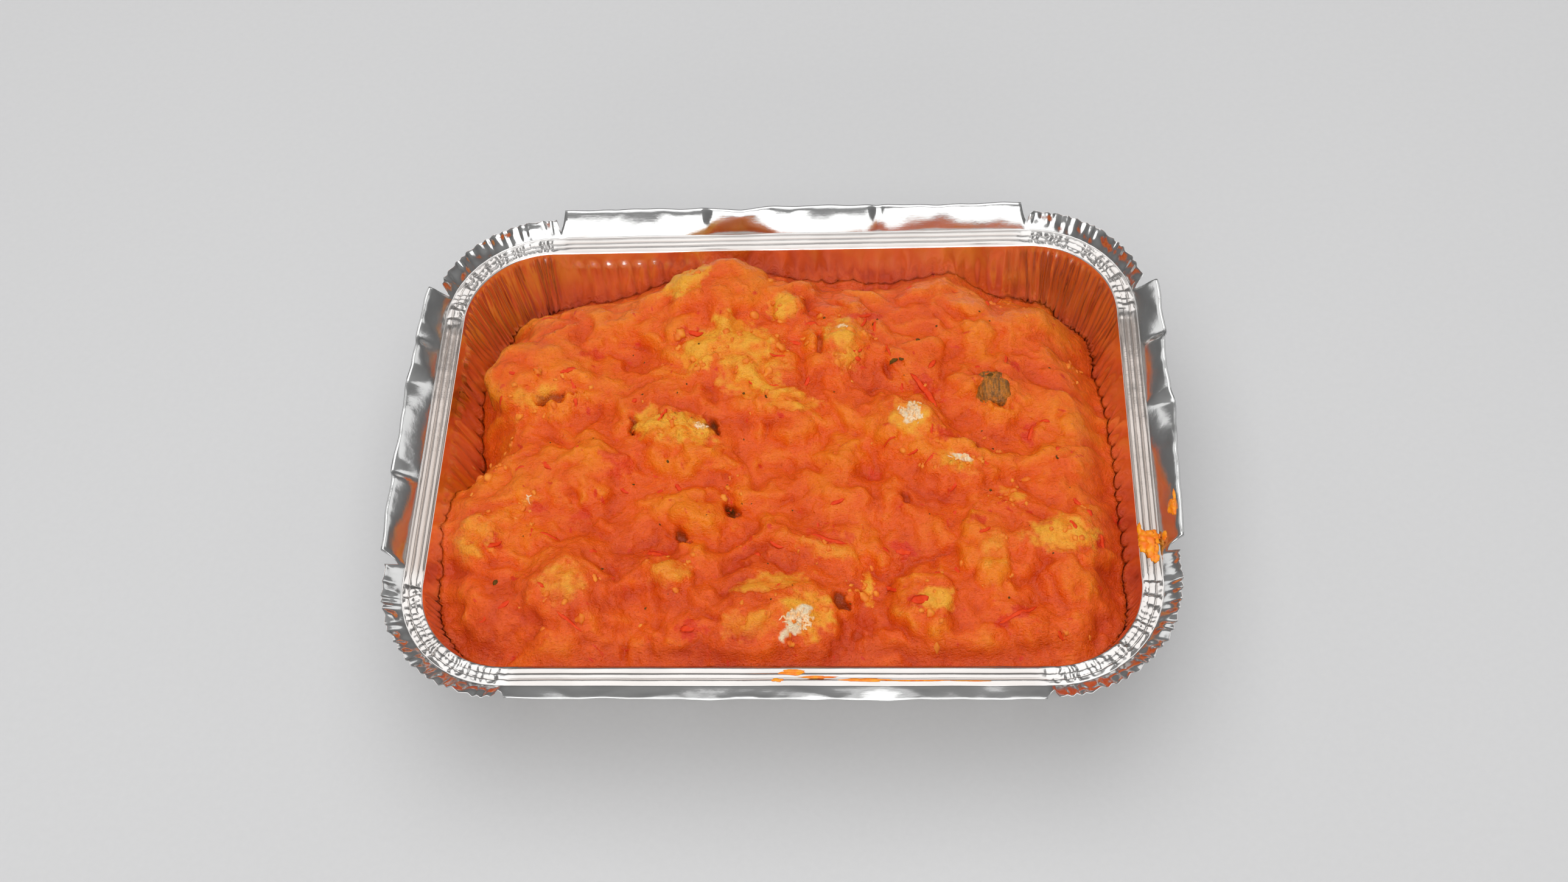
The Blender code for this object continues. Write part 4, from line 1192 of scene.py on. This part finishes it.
def food_finish(name, tint=SAUCE, wet=0.20, brown=0.0):
    """Sauce, batter and meat by the piece's shares, with grain as bump."""
    f = Finish(name, Coat_Weight=0.12, Coat_Roughness=0.08, Specular_IOR_Level=0.32, **SOFT_LIGHT)
    keys = "crest", "rise", "bare", "flesh", "stain", "dark"
    crest, rise, bare, flesh, stain, dark = (f.stored(key) for key in keys)
    broad, middle = f.clouds(17.0, 2.0), f.clouds(4.2, 3.0, shift=5.0)
    fine = f.clouds(1.1, 4.0, 0.65, shift=9.0)
    # This mixes the colour from dark in hollows to pale on crests: partly deeper and thinner sauce, partly
    # painted shade and painted light.
    depth = crest * 0.5 + rise * 0.5 + (broad - 0.5) * 1.35 + (middle - 0.5) * 0.5 + (fine - 0.5) * 0.35
    colour = f.mix(depth.step(0.0, 0.45), DEEP_AND_SHADED, tint)
    colour = f.mix(depth.step(0.45, 0.95), colour, PALE_AND_LIT)
    colour = f.mix((middle * 0.6 + fine * 0.4 + stain * 0.25).step(0.56, 0.7) * 0.45, colour, RED)
    colour = f.mix((stain * (fine + 0.35)).step(0.15, 0.7) * 0.8, colour, RED)
    thin = (bare + (fine - 0.5) * 0.35 + (middle - 0.5) * 0.3 + (crest - 0.5) * 0.35).step(0.12, 0.8)
    # The batter is also coloured darker in hollows and paler on crests: painted shade and painted light,
    # over its own uneven tone.
    batter = f.mix((middle + (crest - 0.5) * 0.8).step(0.35, 0.65), GOLD, BATTER)
    colour = f.mix(thin * 0.93, colour, batter)
    colour = f.mix((flesh + (fine - 0.5) * 0.5).step(0.35, 0.75), colour, MEAT)
    # Painted shade: the holes are coloured near black.
    colour = f.mix(dark.step(0.3, 1.0) * 0.85, colour, HOLE_SHADE)
    if brown:
        ribs = f.clouds(1.1, 2.0, stretch=(0.7, 3.0, 1.0), shift=3.0)
        colour = f.mix(ribs.step(0.36, 0.62) * brown, RIB, RIB_SHADE)
    rough = wet + thin * 0.2 + (middle - 0.5) * 0.25 + (fine - 0.5) * 0.3
    wrinkled = f.clouds(0.9, 2.0, 0.6, stretch=(1.6, 0.8, 1.2), shift=2.0)
    grain = f.bump(fine, 0.60, f.bump(1.0 - (wrinkled - 0.5).size() * 4.0, 0.22, f.bump(middle, 0.30)))
    return f.feed(Base_Color=colour, Roughness=rough, Normal=grain)


sauce.data.materials.append(food_finish("orange_sauce"))
chicken_finish = food_finish("sauced_batter", tint=(0.96, 0.150, 0.002), wet=0.26)
onion_finish = food_finish("cooked_onion_skin", tint=(0.45, 0.08, 0.01), wet=0.26, brown=0.85)
for key, piece in chunk_pieces.items():
    piece.data.materials.append(onion_finish if key == "onion" else chicken_finish)

# %% [markdown]
# The small things each have one main colour, which noise moves to a second one, and a fine bump.

# %% Small finishes
def plain_finish(name, first, second, size, roughness, depth=0.1, **values):
    """Two colours mixed by noise, with the same noise as bump."""
    f = Finish(name, **values)
    cloud = f.clouds(size, 3.0)
    return f.feed(Base_Color=f.mix(cloud.step(0.35, 0.65), first, second),
                  Roughness=roughness + (cloud - 0.5) * 0.3, Normal=f.bump(cloud, depth))


small_finishes = [
    (pepper_bits, "pepper_skin", (0.86, 0.070, 0.006), (0.76, 0.036, 0.004), 1.2, 0.5, 0.2, "sauce"),
    (herb_flecks, "dark_herb", (0.10, 0.045, 0.006), (0.16, 0.075, 0.010), 0.5, 0.7, 0.1, "sauce"),
    (batter_crumbs, "crumbs", (0.90, 0.29, 0.025), (0.82, 0.15, 0.010), 2.5, 0.45, 0.3, "chicken"),
    (meat_shreds, "meat_fibre", (0.94, 0.74, 0.50), (0.92, 0.50, 0.18), 1.2, 0.5, 0.3, "chicken"),
    (splashes, "splashed_sauce", (1.0, 0.38, 0.008), (0.95, 0.19, 0.006), 1.8, 0.3, 0.4, "sauce"),
]
for piece, name, first, second, size, roughness, shine, slot in small_finishes:
    finish = plain_finish(name, first, second, size, roughness, Specular_IOR_Level=shine)
    piece.data.materials.append(finish)

# %% [markdown]
# Foil is a mirror with a fine grain: faint lines along the way it was rolled, and shallow dents that break
# up the reflections. Its colour is painted darker, towards a warm dark, where the share of painted shade is
# high: painted shade in the wall's creases, and on the ledge a painted reflection of the food and the
# room's dark side.

# %% Foil finish
WARM_SHADE = (0.26, 0.17, 0.12)


def foil_finish(name, bright, dull):
    """A metal whose colour goes from bright to dull in a broad haze, with rolling lines and dents, and from
    there to a painted warm shade by the piece's share of painted shade."""
    f = Finish(name, Metallic=1.0)
    lines = f.clouds(0.35, 3.0, 0.7, stretch=(60.0, 1.0, 1.0))
    dents, haze = f.clouds(5.0, 3.0), f.clouds(22.0, 3.0, shift=4.0)
    rough = 0.08 + haze * 0.12 + (lines - 0.5) * 0.12
    colour = f.mix(haze.step(0.3, 0.7), bright, dull)
    # Painted shade: towards a warm dark in the wall's creases, and a painted reflection on the ledge.
    colour = f.mix(f.stored("crease") * 0.55, colour, WARM_SHADE)
    dented = f.bump(lines, 0.010, f.bump(dents, 0.06))
    return f.feed(Base_Color=colour, Roughness=rough, Normal=dented)


bowl.data.materials.append(foil_finish("pressed_foil", (0.97, 0.95, 0.93), (0.92, 0.89, 0.86)))
# The rim is the same foil as the bowl, given a darker colour: painted shade that tones down its
# reflections.
rim.data.materials.append(foil_finish("shaded_rim_foil", (0.68, 0.68, 0.675), (0.58, 0.58, 0.575)))

# %% [markdown]
# ## Fitting the pieces to the frame
# Everything rides on the one body. Each finer surface takes the place of its solid.

# %% Bodies and nodes
small_pieces = [row[0] for row in small_finishes]
for piece in (bowl, rim, sauce, *chunk_pieces.values(), *small_pieces):
    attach(piece, "root")
for sheet in (bowl, rim):
    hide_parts("foil_tray")
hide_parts("sauce")
for key, piece in chunk_pieces.items():
    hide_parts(key)

# %% [markdown]
# ## Floor and light
# The tray stands on a plain pale floor. A wide soft light hangs over it, and a narrow one beyond is
# what the back flap mirrors. Two soft lights from behind the sides and a low wide one in front light
# the walls and the outer lip. The room, which is darker at the horizon, fills the rest.

# %% Floor
bpy.ops.mesh.primitive_plane_add(size=6.0)
floor = bpy.context.object
floor.name = "floor"
f = Finish("pale_floor")
paper = f.clouds(2.0, 4.0)
floor.data.materials.append(f.feed(
    Base_Color=f.mix(paper, (0.66, 0.66, 0.665), (0.70, 0.70, 0.705)), Roughness=0.7 + (paper - 0.5) * 0.2,
    Normal=f.bump(paper, 0.05)))


# %% Lights
def soft_light(name, place, aim, size, power):
    """A rectangular light that faces a point."""
    light = bpy.data.lights.new(name, "AREA")
    light.shape, light.size, light.size_y, light.energy = "RECTANGLE", size[0], size[1], power
    lamp = bpy.data.objects.new(name, light)
    bpy.context.scene.collection.objects.link(lamp)
    lamp.location = place
    way = np.array(aim) - np.array(place)
    tilt, turn = math.acos(-way[2] / np.linalg.norm(way)), math.atan2(way[1], way[0]) - math.pi / 2.0
    lamp.rotation_euler = (tilt, 0.0, turn)


soft_light("overhead", (-0.06, -0.17, 1.2), (-0.06, -0.17, 0.0), (2.0, 1.4), 12.2)
soft_light("overhead_far", (-0.06, 1.06, 1.2), (-0.06, 0.5, 0.0), (1.2, 0.2), 0.45)
for name, x in (("left", -1.25), ("right", 1.35)):
    soft_light("side_" + name, (x, 0.95, 0.85), (0.0, 0.0, 0.05), (0.7, 0.7), 1.3)
soft_light("front_wall", (0.0, -1.7, 0.5), (0.0, 0.0, 0.05), (1.6, 0.8), 7.2)
world = bpy.data.worlds.new("room")
world.use_nodes = True
room = world.node_tree
way = room.nodes.new("ShaderNodeTexCoord").outputs["Generated"]
split = room.nodes.new("ShaderNodeSeparateXYZ")
ramp = room.nodes.new("ShaderNodeValToRGB")
room.links.new(way, split.inputs[0])
room.links.new(split.outputs["Z"], ramp.inputs[0])
room.links.new(ramp.outputs[0], room.nodes["Background"].inputs["Color"])
for stop, position, grey in zip(ramp.color_ramp.elements, (0.0, 0.9), (0.15, 0.44)):
    stop.position, stop.color = position, (grey, grey, grey, 1.0)
bpy.context.scene.world = world
bpy.context.scene.view_settings.view_transform = "Standard"
